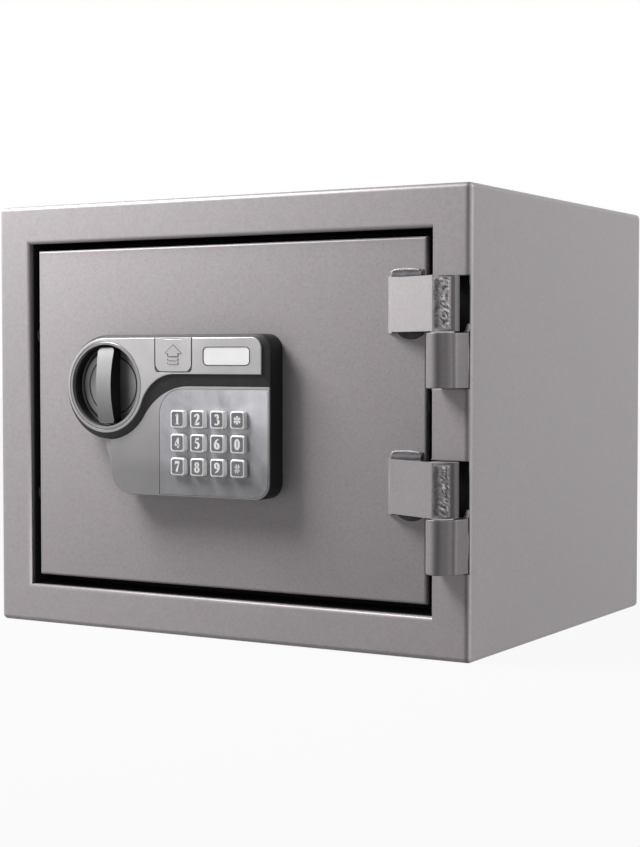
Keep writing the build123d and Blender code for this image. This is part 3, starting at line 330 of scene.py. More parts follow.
def frame_paint():
    """Paint of the frame, with painted light along its outer front edges, fading to black as
    painted shade inside the doorway and the hinge recesses.
    """
    finish = satin_paint("frame_paint", PEWTER)
    near = finish.fade("Y", FRONT + 1.5, FRONT + 4.0, 1.0, 0.0)
    # Painted light on the front edges: a dark line and a light line by the right edge, a dark
    # line along the top and a darker foot
    for axis, middle, width, tone in (
        ("X", BODY_HALF - 3.6, 1.5, 0.5),
        ("X", BODY_HALF - 1.2, 1.0, 1.9),
        ("Z", BODY_HEIGHT, 1.5, 0.5),
        ("Z", 0.0, 2.2, 0.72),
    ):
        edge = finish.band(finish.axis(axis), middle * MM, width * MM, tone)
        finish.shade(finish.eased(edge, near))
    left, right, low, high = DOORWAY
    limits = [(left - 0.3, right + 0.3, low - 0.3, high + 0.3)]
    for level in HINGE_LEVELS:
        limits.append((right - 0.5, POCKET_RIGHT + 0.4, level - 41.0, level + KNUCKLE + 1.0))
    return finish.painted_shade_behind(limits, 3.4, 6.4)


def door_paint():
    """Paint of the door's plate with painted light, lighter towards the top left and darker
    towards the bottom right, its turned sides fading to black as painted shade in the gap.
    """
    finish = satin_paint("door_paint", PEWTER)
    finish.shade(finish.fade("X", -178.0, 178.0, 1.05, 0.87))
    finish.shade(finish.fade("Z", 39.0, 303.0, 0.86, 1.08))
    return finish.painted_shade_behind([(-190.0, 190.0, 20.0, 320.0)], 7.0, 10.5)


def leaf_paint():
    """Paint of the door's hinge halves in the lit tone, with painted shade round the side of the
    barrels, a painted highlight line at their edge and the lower hinge darker.
    """
    finish = satin_paint("leaf_paint", LEAF_LIT_TONE, 0.2, 1.6)
    angle = finish.barrel_angle()
    side = finish.product(
        finish.span(angle, 0.45, 1.0, 26.0, 100.0),
        finish.band(angle, -23.0, 5.0, 1.7),
        finish.band(angle, 36.0, 12.0, 0.4),
    )
    finish.shade(finish.fade(*LEAF_SHADE_FADE))
    return finish.shade(finish.eased(side, finish.fade("X", 190.0, 194.0, 0.0, 1.0)))


def knuckle_paint():
    """Paint of the frame's hinge halves, with painted reflections as dark and light bands run
    down them, and painted shade towards the right.
    """
    finish = satin_paint("knuckle_paint", PEWTER, 0.2, 1.4)
    band_wobble = finish.noise(9.0, 2.0, 0.5, finish.stretched((1.0, 1.0, 0.2)))
    middled = finish.minus(finish.barrel_angle(), 4.5)
    angle = finish.maths("MULTIPLY_ADD", band_wobble, 9.0, middled)
    for middle, width, tone in (
        (82.0, 17.0, 0.36), (22.0, 8.0, 0.5), (8.0, 5.0, 1.25), (50.0, 14.0, 0.85)
    ):
        finish.shade(finish.band(angle, middle, width, tone))
    return finish.shade(finish.fade("X", 203.0, 213.0, 0.8, 0.55))


def weld_paint():
    """Paint over rough weld, with painted shade in the dips and painted highlights on the ridges,
    darker at the barrel's side and on the lower hinge.
    """
    finish = satin_paint("weld_paint", LEAF_LIT_TONE, 0.3, 2.0)
    finish.shade(finish.band(finish.barrel_angle(), 32.0, 9.0, 0.4))
    finish.shade(finish.fade(*LEAF_SHADE_FADE))
    painted_shading = finish.node("Attribute", attribute_name="painted_shading").outputs["Fac"]
    highlight_share = finish.most(finish.product(painted_shading, -1.0), 0.0)
    highlighted_colour = finish.blend(highlight_share, finish.now("Base Color"), (0.8, 0.79, 0.79))
    painted_shade_share = finish.product(painted_shading, finish.span(finish.noise(0.9, 3.0, 0.7), 0.5, 1.0, 0.3, 0.6))
    finish.colour(finish.most(painted_shade_share, 0.0), highlighted_colour, (0.022, 0.022, 0.023))
    return finish


def weld_tint():
    """Dark bluish colour for the weld lenses round the leaves: painted shade and a painted dark
    reflection.
    """
    finish = Finish("weld_tint", (0.07, 0.067, 0.078), 0.55, 0.1, Specular_IOR_Level=0.3)
    shade_mottle = finish.over(finish.noise(9.0, 3.0, 0.6), 0.35, 0.65)
    grit = finish.noise(0.8, 3.0, 0.65)
    finish.colour(shade_mottle, (0.022, 0.02, 0.03), (0.06, 0.057, 0.062))
    finish.gloss(grit, 0.46, 0.66)
    return finish.bump(grit, 0.12, 0.7)


# Metals
def bare_metal(name, colour, roughness):
    """Machined or rolled metal with fine drawn lines and dull patches."""
    finish = Finish(name, colour, roughness, 1.0)
    lines = finish.noise(1.2, 3.0, 0.6, finish.stretched((1.0, 1.0, 12.0)))
    patches = finish.noise(14.0, 4.0, 0.6)
    finish.colour(finish.span(patches, 0.0, 0.5), colour, toned(colour, 0.75))
    drawn = finish.span(lines, roughness - 0.1, roughness + 0.1)
    finish.use("Roughness", finish.maths("MULTIPLY_ADD", patches, 0.22, drawn))
    return finish.bump(lines, 0.01)


def zinc_plate():
    """Passivated zinc with a faint spangle."""
    finish = Finish("zinc_plate", (0.55, 0.56, 0.56), 0.38, 1.0)
    spangle = finish.span(finish.cells(9.0), 0.0, 0.4)
    patches = finish.noise(22.0, 4.0, 0.6)
    tone = finish.blend(spangle, (0.50, 0.51, 0.50), (0.64, 0.64, 0.62))
    finish.colour(finish.span(patches, 0.0, 0.3), tone, (0.56, 0.54, 0.44))
    finish.gloss(patches, 0.3, 0.52, 0.3, 0.7)
    return finish.bump(finish.noise(1.5), 0.008)


def polished_plate():
    """Polished plate of the blank window."""
    finish = Finish(
        "window_plate", (0.86, 0.86, 0.87), 0.16, 0.55, Coat_Weight=0.5, Coat_Roughness=0.05
    )
    hair = finish.noise(0.7, 3.0, 0.6, finish.stretched((0.08, 1.0, 1.0)))
    haze = finish.noise(20.0)
    finish.colour(finish.span(haze, 0.0, 0.6), (0.9, 0.9, 0.9), (0.72, 0.72, 0.74))
    dull = finish.span(haze, 0.08, 0.16)
    finish.use("Roughness", finish.maths("MULTIPLY_ADD", hair, 0.12, dull))
    return finish.bump(hair, 0.004, 0.4)


# Plastics and lacquers
def moulded(name, colour, roughness, grain=0.5, **own):
    """Moulded plastic with a fine spark-eroded texture."""
    finish = Finish(name, colour, roughness, **own)
    mottle_and_sheen = finish.noise(18.0, 3.0, 0.5)
    finish.colour(finish.over(mottle_and_sheen, 0.3, 0.7), colour, toned(colour, 1.25, 0.004))
    finish.gloss(mottle_and_sheen, roughness - 0.06, roughness + 0.08, 0.3, 0.7)
    return finish.bump(finish.cells(grain, smooth=0.5), 0.015)


def lacquered(name, colour, roughness, metallic):
    """Sprayed metallic lacquer on plastic: fine flake under a thin clear coat."""
    finish = Finish(name, colour, roughness, metallic, Coat_Weight=0.35, Coat_Roughness=0.12)
    drift = finish.noise(30.0, 2.0, 0.5)
    share = finish.both(finish.noise(0.35, 1.0, 0.5), 0.5, drift)
    finish.colour(finish.over(share, 0.3, 0.7), toned(colour, 0.86), toned(colour, 1.1))
    finish.gloss(drift, roughness - 0.05, roughness + 0.07, 0.3, 0.7)
    return finish.bump(finish.noise(1.6, 2.0), 0.006)


def panel_lacquer():
    """Silver lacquer of the lock panel, with painted shade: darker towards its foot and to the
    right.
    """
    finish = lacquered("silver_lacquer", SILVER, 0.36, 0.4)
    finish.shade(finish.fade("Z", 128.0, 228.0, 0.46, 1.16))
    return finish.shade(finish.fade("X", -90.0, 40.0, 1.06, 0.94))


def cup_lacquer():
    """Silver lip of the knob's cup, painted black inside below the lip as painted shade in the
    recess.
    """
    finish = lacquered("cup_lacquer", (0.3, 0.295, 0.295), 0.3, 0.75)
    deep = finish.fade("Y", FRONT - 14.8, FRONT - 13.8, 0.0, 1.0)
    bowl = finish.knob_ring(0.0, CUP_RADIUS + 0.25)
    return finish.lay_over(finish.product(deep, bowl), BLACK, 0.25)


def knob_lacquer():
    """Darker satin lacquer of the knob, with painted light: darker towards its foot, a painted
    shadow on the dial beside the grip, a painted highlight on the dial's left and painted shade
    in the dial's groove.
    """
    finish = lacquered("knob_lacquer", (0.37, 0.363, 0.37), 0.42, 0.35)
    finish.shade(finish.fade("Z", 168.0, 214.0, 0.42, 1.02))
    deep = finish.fade("Y", FRONT - 10.0, FRONT - 6.6, 0.0, 1.0)
    right = finish.fade("X", KNOB[0] + 11.0, KNOB[0] + 23.0, 0.06, 0.95)
    left = finish.fade("X", KNOB[0] - 12.0, KNOB[0] - 6.0, 1.15, 0.3)
    finish.shade(finish.eased(finish.most(right, left), deep))
    groove = finish.product(finish.knob_ring(22.2, 23.6), deep)
    return finish.shade(finish.maths("MULTIPLY_ADD", groove, -0.9, 1.0))


def gloss_film():
    """Glossy grey film with a painted cloudy reflection, lighter towards its top and its right.
    """
    finish = Finish(
        "keypad_film", (0.3, 0.3, 0.32), 0.1, 0.2, Coat_Weight=0.5, Coat_Roughness=0.04
    )
    mottle_and_sheen = finish.noise(42.0, 4.0, warp=0.6)
    slanted = finish.stretched((1.0, 1.0, 0.35), (0.0, 0.6, 0.0))
    share = finish.both(mottle_and_sheen, 0.6, finish.noise(24.0, 3.0, 0.6, slanted))
    finish.colour(finish.over(share, 0.35, 0.65), (0.22, 0.22, 0.236), (0.5, 0.495, 0.53))
    finish.shade(finish.fade("Z", 128.0, 192.0, 0.6, 1.3))
    finish.shade(finish.fade("X", -40.0, 40.0, 0.85, 1.15))
    finish.gloss(mottle_and_sheen, 0.05, 0.12, 0.3, 0.7)
    return finish.bump(finish.noise(12.0, 2.0), 0.01, 0.3)


def key_resin():
    """White key resin with a satin skin."""
    finish = Finish("key_resin", (0.9, 0.9, 0.9), 0.32, Coat_Weight=0.2)
    cloud = finish.noise(6.0)
    finish.colour(finish.over(cloud, 0.0, 1.0), (0.86, 0.86, 0.865), (0.95, 0.95, 0.95))
    finish.gloss(cloud, 0.26, 0.4)
    return finish.bump(finish.noise(0.8), 0.006, 0.4)


def key_print():
    """Grey printed face of the keys, worn a little at random."""
    finish = Finish("key_print", (0.15, 0.15, 0.157), 0.38, 0.1, Coat_Weight=0.15)
    worn = finish.over(finish.noise(2.4, 4.0, 0.6), 0.35, 0.8)
    fine = finish.noise(0.4, 2.0)
    finish.colour(worn, (0.13, 0.13, 0.137), (0.19, 0.19, 0.198))
    finish.gloss(fine, 0.28, 0.42)
    return finish.bump(fine, 0.006, 0.4)


def digit_ink():
    """White ink of the keys' signs."""
    finish = Finish("digit_ink", (0.86, 0.86, 0.86), 0.4)
    fleck = finish.noise(0.7)
    finish.colour(finish.over(fleck, 0.0, 1.0), (0.78, 0.78, 0.78), (0.92, 0.92, 0.92))
    finish.gloss(fleck, 0.32, 0.48)
    return finish.bump(fleck, 0.01, 0.4)


def solder_mask():
    """Green board with its copper tracks showing through."""
    finish = Finish("solder_mask", (0.02, 0.12, 0.06), 0.35, Coat_Weight=0.5)
    tracks = finish.cells(5.0, finish.stretched((1.0, 0.01, 1.0)))
    on = finish.maths("LESS_THAN", finish.maths("FRACT", finish.product(tracks, 5.0)), 0.35)
    finish.colour(on, (0.012, 0.085, 0.04), (0.03, 0.2, 0.09))
    finish.gloss(finish.noise(3.0), 0.28, 0.42)
    return finish.bump(on, 0.03)


def cell_sleeve():
    """Dark shrink sleeve of a round cell, with a bare copper-coloured end band."""
    finish = Finish("cell_sleeve", SLEEVE, 0.25, 0.2, Coat_Weight=0.6)
    end = finish.maths("GREATER_THAN", finish.axis("X"), 75.0 * MM)
    crease = finish.noise(2.0, 3.0, 0.5, finish.stretched((0.2, 1.0, 1.0)))
    finish.colour(end, SLEEVE, (0.5, 0.27, 0.12))
    finish.use("Metallic", finish.span(end, 0.2, 0.8))
    finish.gloss(crease, 0.2, 0.34)
    return finish.bump(crease, 0.02)


# Fill, rubber and felt
def cast_fill():
    """Pale cast fire fill with pores."""
    finish = Finish("cast_fill", (0.66, 0.63, 0.58), 0.92)
    pores = finish.cells(5.0)
    grit = finish.noise(1.4, 5.0, 0.7)
    # The pits are darkened: painted shade in the pores
    deep = finish.span(pores, 1.0, 0.0, 0.05, 0.3)
    tone = finish.blend(deep, (0.7, 0.67, 0.61), (0.46, 0.43, 0.38))
    finish.colour(finish.span(grit, 0.0, 0.4), tone, (0.56, 0.53, 0.48))
    finish.gloss(grit, 0.82, 0.98)
    finish.bump(pores, 0.4, 0.6)
    return finish.bump(grit, 0.12, 0.6)


def soft_rubber(name, colour):
    """Matt rubber with fine grit and a little dust."""
    finish = Finish(name, colour, 0.75)
    grit = finish.noise(0.9, 4.0, 0.6)
    dust = finish.span(finish.noise(26.0, 4.0, 0.6), 0.0, 0.6, 0.4, 0.8)
    finish.colour(dust, colour, toned(colour, 1.5, 0.02))
    finish.gloss(grit, 0.65, 0.87)
    return finish.bump(grit, 0.05)


def felt():
    """Needled felt: matted short fibres."""
    finish = Finish(
        "needled_felt", (0.045, 0.046, 0.05), 0.95, Sheen_Weight=0.5, Sheen_Roughness=0.5
    )
    along = finish.noise(1.4, 4.0, 0.7, finish.stretched((0.3, 1.0, 1.0), (0.0, 0.0, 0.5)))
    across = finish.noise(1.1, 4.0, 0.7, finish.stretched((1.0, 0.3, 1.0), (0.0, 0.0, 1.1)))
    fibres = finish.most(along, across)
    finish.colour(finish.over(fibres, 0.45, 0.75), (0.028, 0.029, 0.032), (0.10, 0.10, 0.11))
    finish.gloss(fibres, 0.88, 1.0)
    return finish.bump(fibres, 0.25, 0.7)


FINISHES = {
    "paint": satin_paint("pewter_paint", PEWTER),
    "liner_paint": satin_paint("liner_paint", (0.42, 0.415, 0.41), 0.2, 1.4),
    "steel": bare_metal("bright_steel", (0.62, 0.62, 0.63), 0.24),
    "zinc": zinc_plate(),
    "fill": cast_fill(),
    "seal": soft_rubber("heat_seal", (0.035, 0.036, 0.04)),
    "silver": panel_lacquer(),
    "black": moulded("black_moulding", BLACK, 0.46, Specular_IOR_Level=0.25),
    "bevel": moulded("dark_lacquer", (0.045, 0.045, 0.045), 0.42, 0.4, Specular_IOR_Level=0.16),
    "film": gloss_film(),
    "key": key_resin(),
    "window": polished_plate(),
    "rubber": soft_rubber("keypad_rubber", (0.07, 0.07, 0.075)),
    "board": solder_mask(),
    "brass": bare_metal("turned_brass", (0.60, 0.43, 0.19), 0.3),
    "cell": cell_sleeve(),
    "lead": soft_rubber("lead_sleeve", (0.02, 0.02, 0.02)),
    "felt": felt(),
}
OWN_FINISHES = {
    "front_frame": frame_paint(),
    "door_plate": door_paint(),
    "knob_bezel": cup_lacquer(),
    "knob": knob_lacquer(),
    "hinge_leaves": leaf_paint(),
    "frame_knuckles": knuckle_paint(),
}
WELD_PAINT = weld_paint()
WELD_PAINTED_SHADE = weld_tint()
BEAD_PAINT = satin_paint("bead_paint", toned(LEAF_LIT_TONE, 0.82), 0.2, 1.8)
# Dark cord finish: painted shade in the seams round the window and the cover
SEAM_SHADE = moulded("window_gasket", (0.02, 0.02, 0.02), 0.5)
# Dark grey for a painted shade line round the cover's marks
SHADE_LINE = moulded("cover_crease", (0.12, 0.12, 0.12), 0.5)
PRINT_FINISH = key_print()
INK_FINISH = digit_ink()


def dress_cad_nodes():
    """Gives each CAD node its own finish, or that of its slot."""
    for name, slot in SLOT_OF.items():
        materials = frame["nodes"][name].data.materials
        materials.clear()
        materials.append(OWN_FINISHES.get(name, FINISHES[slot]).material)


# Piece helpers
def placed(name, data):
    """A new object in the scene."""
    made = bpy.data.objects.new(name, data)
    bpy.context.scene.collection.objects.link(made)
    return made


def add_piece(name, mesh, body, finish=None, smooth=35.0, replaces=None):
    """Links a finished mesh as a piece of one body."""
    piece = placed(name, mesh)
    if finish:
        mesh.materials.clear()
        mesh.materials.append(finish.material)
    if smooth is not None:
        mesh.shade_smooth()
        mesh.set_sharp_from_angle(angle=radians(smooth))
    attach(piece, body)
    if replaces:
        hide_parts(replaces)
    return piece


def mesh_from(name, points, faces, edges=()):
    mesh = bpy.data.meshes.new(name)
    mesh.from_pydata([tuple(point) for point in points], edges, faces)
    mesh.validate()
    return mesh


def grid_points(rows, columns, place, *given):
    """What a function of two shares, up and across, gives at each point of a grid."""
    return [
        place(*given, row / rows, column / columns)
        for row in range(rows + 1)
        for column in range(columns + 1)
    ]


def grid_faces(rows, columns, turned=False):
    """Quads between rows of points, each row with one point more than columns."""
    faces = []
    for row in range(rows):
        for a in range(row * (columns + 1), row * (columns + 1) + columns):
            loop = (a, a + 1, a + columns + 2, a + columns + 1)
            faces.append((a, *loop[:0:-1]) if turned else loop)
    return faces


def tidy_shell(mesh, merge=1e-6, close=False):
    """Merges doubles, closes an open side if asked, and turns every face outwards."""
    shape = bmesh.new()
    shape.from_mesh(mesh)
    bmesh.ops.remove_doubles(shape, verts=shape.verts, dist=merge)
    if close:
        bmesh.ops.holes_fill(shape, edges=[edge for edge in shape.edges if edge.is_boundary])
    bmesh.ops.recalc_face_normals(shape, faces=shape.faces)
    shape.to_mesh(mesh)
    shape.free()
    return mesh


def join_meshes(name, parts):
    """One mesh from several with the same material."""
    shape = bmesh.new()
    for part in parts:
        shape.from_mesh(part)
    mesh = bpy.data.meshes.new(name)
    shape.to_mesh(mesh)
    shape.free()
    return mesh


# Rounded edges
def softened(node, width, segments=2, share=None):
    """A copy of a CAD node with rounded edges, which stands for the node.

    A share function gives the part of the width for an edge from its two ends, in millimetres.
    """
    mesh = frame["nodes"][node].data.copy()
    shape = bmesh.new()
    shape.from_mesh(mesh)
    bmesh.ops.remove_doubles(shape, verts=shape.verts, dist=1e-6)
    flat = radians(0.3)
    bmesh.ops.dissolve_limit(shape, angle_limit=flat, verts=shape.verts, edges=shape.edges)
    limit = radians(32.0)
    if share:
        weights = shape.edges.layers.float.new("bevel_weight_edge")
        for edge in shape.edges:
            if edge.calc_face_angle(0.0) > limit:
                edge[weights] = share(*(point.co / MM for point in edge.verts))
                edge.smooth = edge[weights] > 0.0
    shape.to_mesh(mesh)
    shape.free()
    mesh.shade_smooth()
    piece = add_piece(
        f"{node}_finished", mesh, BODY_OF[node], smooth=None, replaces=node
    )
    rounding = piece.modifiers.new("rounding", "BEVEL")
    rounding.width = width * MM
    rounding.segments = segments
    rounding.limit_method = "WEIGHT" if share else "ANGLE"
    rounding.use_clamp_overlap = share is None
    rounding.angle_limit = limit
    piece.modifiers.new("flat_faces", "WEIGHTED_NORMAL").keep_sharp = share is not None
    return piece


def paint_faces(piece, finish, chosen):
    """Second finish on the faces that a test picks by centre, in millimetres, and normal."""
    piece.data.materials.append(finish.material)
    for face in piece.data.polygons:
        if chosen(face.center / MM, face.normal):
            face.material_index = 1


def thin_barrels(mesh):
    """Draws the front of the door's barrels in, to leave room for the rough weld on them."""
    for point in mesh.vertices:
        x = point.co.x / MM - HINGE[0]
        depth = point.co.y / MM - FRONT - HINGE[1]
        turned = degrees(atan2(-depth, x))
        if 20.0 < turned < 102.0 and hypot(x, depth) > BARREL - 0.4:
            point.co.x -= x * SKIN_ROOM / BARREL * MM
            point.co.y -= depth * SKIN_ROOM / BARREL * MM


def fold_share(first, second):
    """Wide rounding for the doorway's folded top, left and bottom edges, slight for the rest."""
    left, right, low, high = DOORWAY
    unrounded_depth, slight, near = 12.0, 0.25, 0.4
    if max(first.y, second.y) > FRONT + unrounded_depth:
        return 0.0
    for point in (first, second):
        if point.y > FRONT + near or point.x > right + near:
            return slight
    if abs(first.x - second.x) < 0.1:
        folded = abs(first.x - left) < near
    else:
        folded = abs(first.z - low) < near or abs(first.z - high) < near
    return 1.0 if folded else slight


def rounded_pieces():
    """Rounded edges on the pieces whose edges catch the light."""
    softened("front_frame", 3.0, 4, fold_share)
    widths = {
        "frame_knuckles": 0.7,
        "upper_fascia": 0.2,
        "lower_fascia": 0.45,
        "bevel_trim": 0.25,
        "lock_base": 0.5,
        "override_cover": 0.25,
    }
    rounded = {node: softened(node, width) for node, width in widths.items()}
    # The walls round the sliding cover are painted black: painted shade in its groove
    for node, reach in (("upper_fascia", 19.0), ("override_cover", 99.0)):
        paint_faces(rounded[node], FINISHES["black"], lambda place, turned, reach=reach: (
            abs(turned.y) < 0.5 and abs(place.x - COVER_X) < reach and 204.0 < place.z < 231.0
        ))
    # The grip's sides are painted black: painted shade on its flanks
    paint_faces(softened("knob", 0.6, 3), FINISHES["black"], lambda place, turned: (
        abs(turned.x) > 0.6 and abs(place.x - KNOB[0]) < 9.0
    ))
    leaves = softened("hinge_leaves", 0.8, 3)
    thin_barrels(leaves.data)
    tops = [level + KNUCKLE + 0.3 for level in HINGE_LEVELS]
    # The weld lens above each leaf is painted dark: a painted dark reflection
    paint_faces(leaves, WELD_PAINTED_SHADE, lambda place, turned: any(
        top < place.z < top + 9.0 and place.x < LEAF_MIDDLE for top in tops
    ))


# Geometry Nodes
class Recipe(Tree):
    """A Geometry Nodes tree built step by step, with named inputs."""

    family = "GeometryNode"

    def __init__(self, name):
        super().__init__(bpy.data.node_groups.new(name, "GeometryNodeTree"))
        self.tree.is_modifier = True
        for side in ("INPUT", "OUTPUT"):
            self.tree.interface.new_socket(
                "Geometry", in_out=side, socket_type="NodeSocketGeometry"
            )
        self.source = self.tree.nodes.new("NodeGroupInput")
        self.result = self.tree.nodes.new("NodeGroupOutput")
        self.base = self.source.outputs["Geometry"]

    def given(self, name, kind, value=None):
        """A named input of the tree, as a socket."""
        socket = self.tree.interface.new_socket(
            name, in_out="INPUT", socket_type=f"NodeSocket{kind}"
        )
        if value is not None:
            socket.default_value = value
        return self.source.outputs[name]

    def numbers(self, **starts):
        """Named number inputs with their starting values, as sockets."""
        return [
            self.given(name.replace("_", " "), "Float", start) for name, start in starts.items()
        ]

    def vector(self, x=0.0, y=0.0, z=0.0):
        return self.step("ShaderNodeCombineXYZ", X=x, Y=y, Z=z)

    def rounded_outline(self, width, height, corner, count):
        """A rectangle with rounded corners, as a closed curve."""
        outline = self.step("CurvePrimitiveQuadrilateral", Width=width, Height=height)
        return self.step("FilletCurve", mode="POLY", Curve=outline, Radius=corner, Count=count)

    def upright(self, geometry):
        """Turns flat geometry to face the front, at a named centre."""
        centre = self.given("Centre", "Vector")
        turn = (pi / 2, 0.0, 0.0)
        return self.step("Transform", Geometry=geometry, Translation=centre, Rotation=turn)

    def finish(self, geometry):
        """Ends the tree: real geometry with its named finish."""
        real = self.step("RealizeInstances", Geometry=geometry)
        material = self.given("Finish", "Material")
        made = self.step("SetMaterial", Geometry=real, Material=material)
        self.put(self.result.inputs[0], made)
        return self


def grow(recipe, name, finish, base=None, **inputs):
    """Runs a tree with these inputs, in metres, and returns the result as a plain mesh."""
    inputs["Finish"] = finish.material
    holder = placed(name, base or bpy.data.meshes.new(name))
    modifier = holder.modifiers.new(name, "NODES")
    modifier.node_group = recipe.tree
    for item in recipe.tree.interface.items_tree:
        key = item.name.replace(" ", "_")
        if item.in_out == "INPUT" and key in inputs:
            modifier[item.identifier] = inputs[key]
    bpy.context.view_layer.update()
    graph = bpy.context.evaluated_depsgraph_get()
    mesh = bpy.data.meshes.new_from_object(holder.evaluated_get(graph))
    holder.modifiers.remove(modifier)
    bpy.data.objects.remove(holder)
    return mesh


def weld_recipe():
    """A weld bead laid along the given line: rippled, uneven, tapering at both ends."""
    recipe = Recipe("weld_bead")
    face, width, flat, pitch, depth, rough, seed = recipe.numbers(
        Face=0.0, Width=0.002, Flatness=0.5, Ripple_pitch=0.0012, Ripple_depth=0.12,
        Roughness=0.0003, Seed=1.0,
    )
    line = recipe.step("MeshToCurve", Mesh=recipe.base)
    spacing = recipe.maths("DIVIDE", pitch, 5.0)
    points = recipe.step("ResampleCurve", mode="LENGTH", Curve=line, Length=spacing)
    along = recipe.node("SplineParameter").outputs
    turns = recipe.maths("DIVIDE", recipe.product(along["Length"], 2 * pi), pitch)
    wave = recipe.product(recipe.maths("SINE", turns), depth)
    rest = recipe.minus(1.0, along["Factor"])
    taper = recipe.maths("POWER", recipe.product(along["Factor"], rest, 4.0), 0.3)
    size = recipe.product(width, recipe.product(taper, recipe.maths("ADD", wave, 1.0)))
    thin = 0.05 * MM
    ring = recipe.step("CurvePrimitiveCircle", Resolution=18, Radius=1.0)
    tube = recipe.step(
        "CurveToMesh", Curve=points, Profile_Curve=ring, Scale=recipe.most(size, thin),
        Fill_Caps=True,
    )
    grit = recipe.step(
        "ShaderNodeTexNoise", noise_dimensions="4D", W=seed, Scale=650.0, Detail=3.0
    )
    shift = recipe.product(recipe.minus(grit, 0.5), rough)
    normal = recipe.step("InputNormal")
    offset = recipe.step("ShaderNodeVectorMath", operation="SCALE", Vector=normal, Scale=shift)
    uneven = recipe.step("SetPosition", Geometry=tube, Offset=offset)
    place = recipe.node("ShaderNodeSeparateXYZ", Vector=recipe.step("InputPosition")).outputs
    lowered = recipe.product(recipe.minus(place["Y"], face), flat)
    pressed = recipe.vector(place["X"], recipe.maths("ADD", face, lowered), place["Z"])
    return recipe.finish(recipe.step("SetPosition", Geometry=uneven, Position=pressed))


def printed_face_recipe():
    """A thin rounded plate: the grey print on a key's front."""
    recipe = Recipe("printed_face")
    width, height, corner, thick = recipe.numbers(
        Width=0.011, Height=0.0118, Corner=0.0018, Thickness=0.0001
    )
    outline = recipe.rounded_outline(width, height, corner, 6)
    filled = recipe.step("FillCurve", mode="NGONS", Curve=outline)
    raised = recipe.step("ExtrudeMesh", Mesh=filled, Offset_Scale=thick, Individual=False)
    return recipe.finish(recipe.upright(raised))


def seam_line_recipe():
    """A thin round cord laid along a rounded outline."""
    recipe = Recipe("gasket_line")
    width, height, corner, radius = recipe.numbers(
        Width=0.04, Height=0.013, Corner=0.0035, Radius=0.0004
    )
    outline = recipe.rounded_outline(width, height, corner, 8)
    ring = recipe.step("CurvePrimitiveCircle", Resolution=8, Radius=radius)
    cord = recipe.step("CurveToMesh", Curve=outline, Profile_Curve=ring)
    return recipe.finish(recipe.upright(cord))


def screw_recipe():
    """Pan-head screws with a cross recess, one at each given point of the base mesh."""
    recipe = Recipe("pan_screws")
    radius, rise = recipe.numbers(Head_radius=0.0035, Head_rise=0.002)
    seed = recipe.given("Seed", "Int", 3)
    dome = recipe.step("MeshUVSphere", Radius=1.0, Segments=28, Rings=16)
    squashed = recipe.step("Transform", Geometry=dome, Scale=recipe.vector(radius, rise, radius))
    cross = recipe.node("JoinGeometry")
    long, deep, wide = 0.0042, 0.003, 0.0009
    for size in ((long, deep, wide), (wide, deep, long)):
        recipe.put(cross.inputs[0], recipe.step("MeshCube", Size=size))
    up = recipe.vector(y=rise)
    blades = recipe.step("Transform", Geometry=cross.outputs[0], Translation=up)
    cut = recipe.node("MeshBoolean", operation="DIFFERENCE", solver="EXACT", Mesh_1=squashed)
    recipe.put(cut.inputs["Mesh 2"], blades)
    recipe.put(cut.inputs["Self Intersection"], True)
    turn = recipe.step(
        "FunctionNodeRandomValue", data_type="FLOAT_VECTOR",
        Min=(0.0, 0.0, 0.0), Max=(0.0, 3.1, 0.0), Seed=seed,
    )
    screws = recipe.step(
        "InstanceOnPoints", Points=recipe.base, Instance=cut.outputs[0], Rotation=turn
    )
    return recipe.finish(screws)


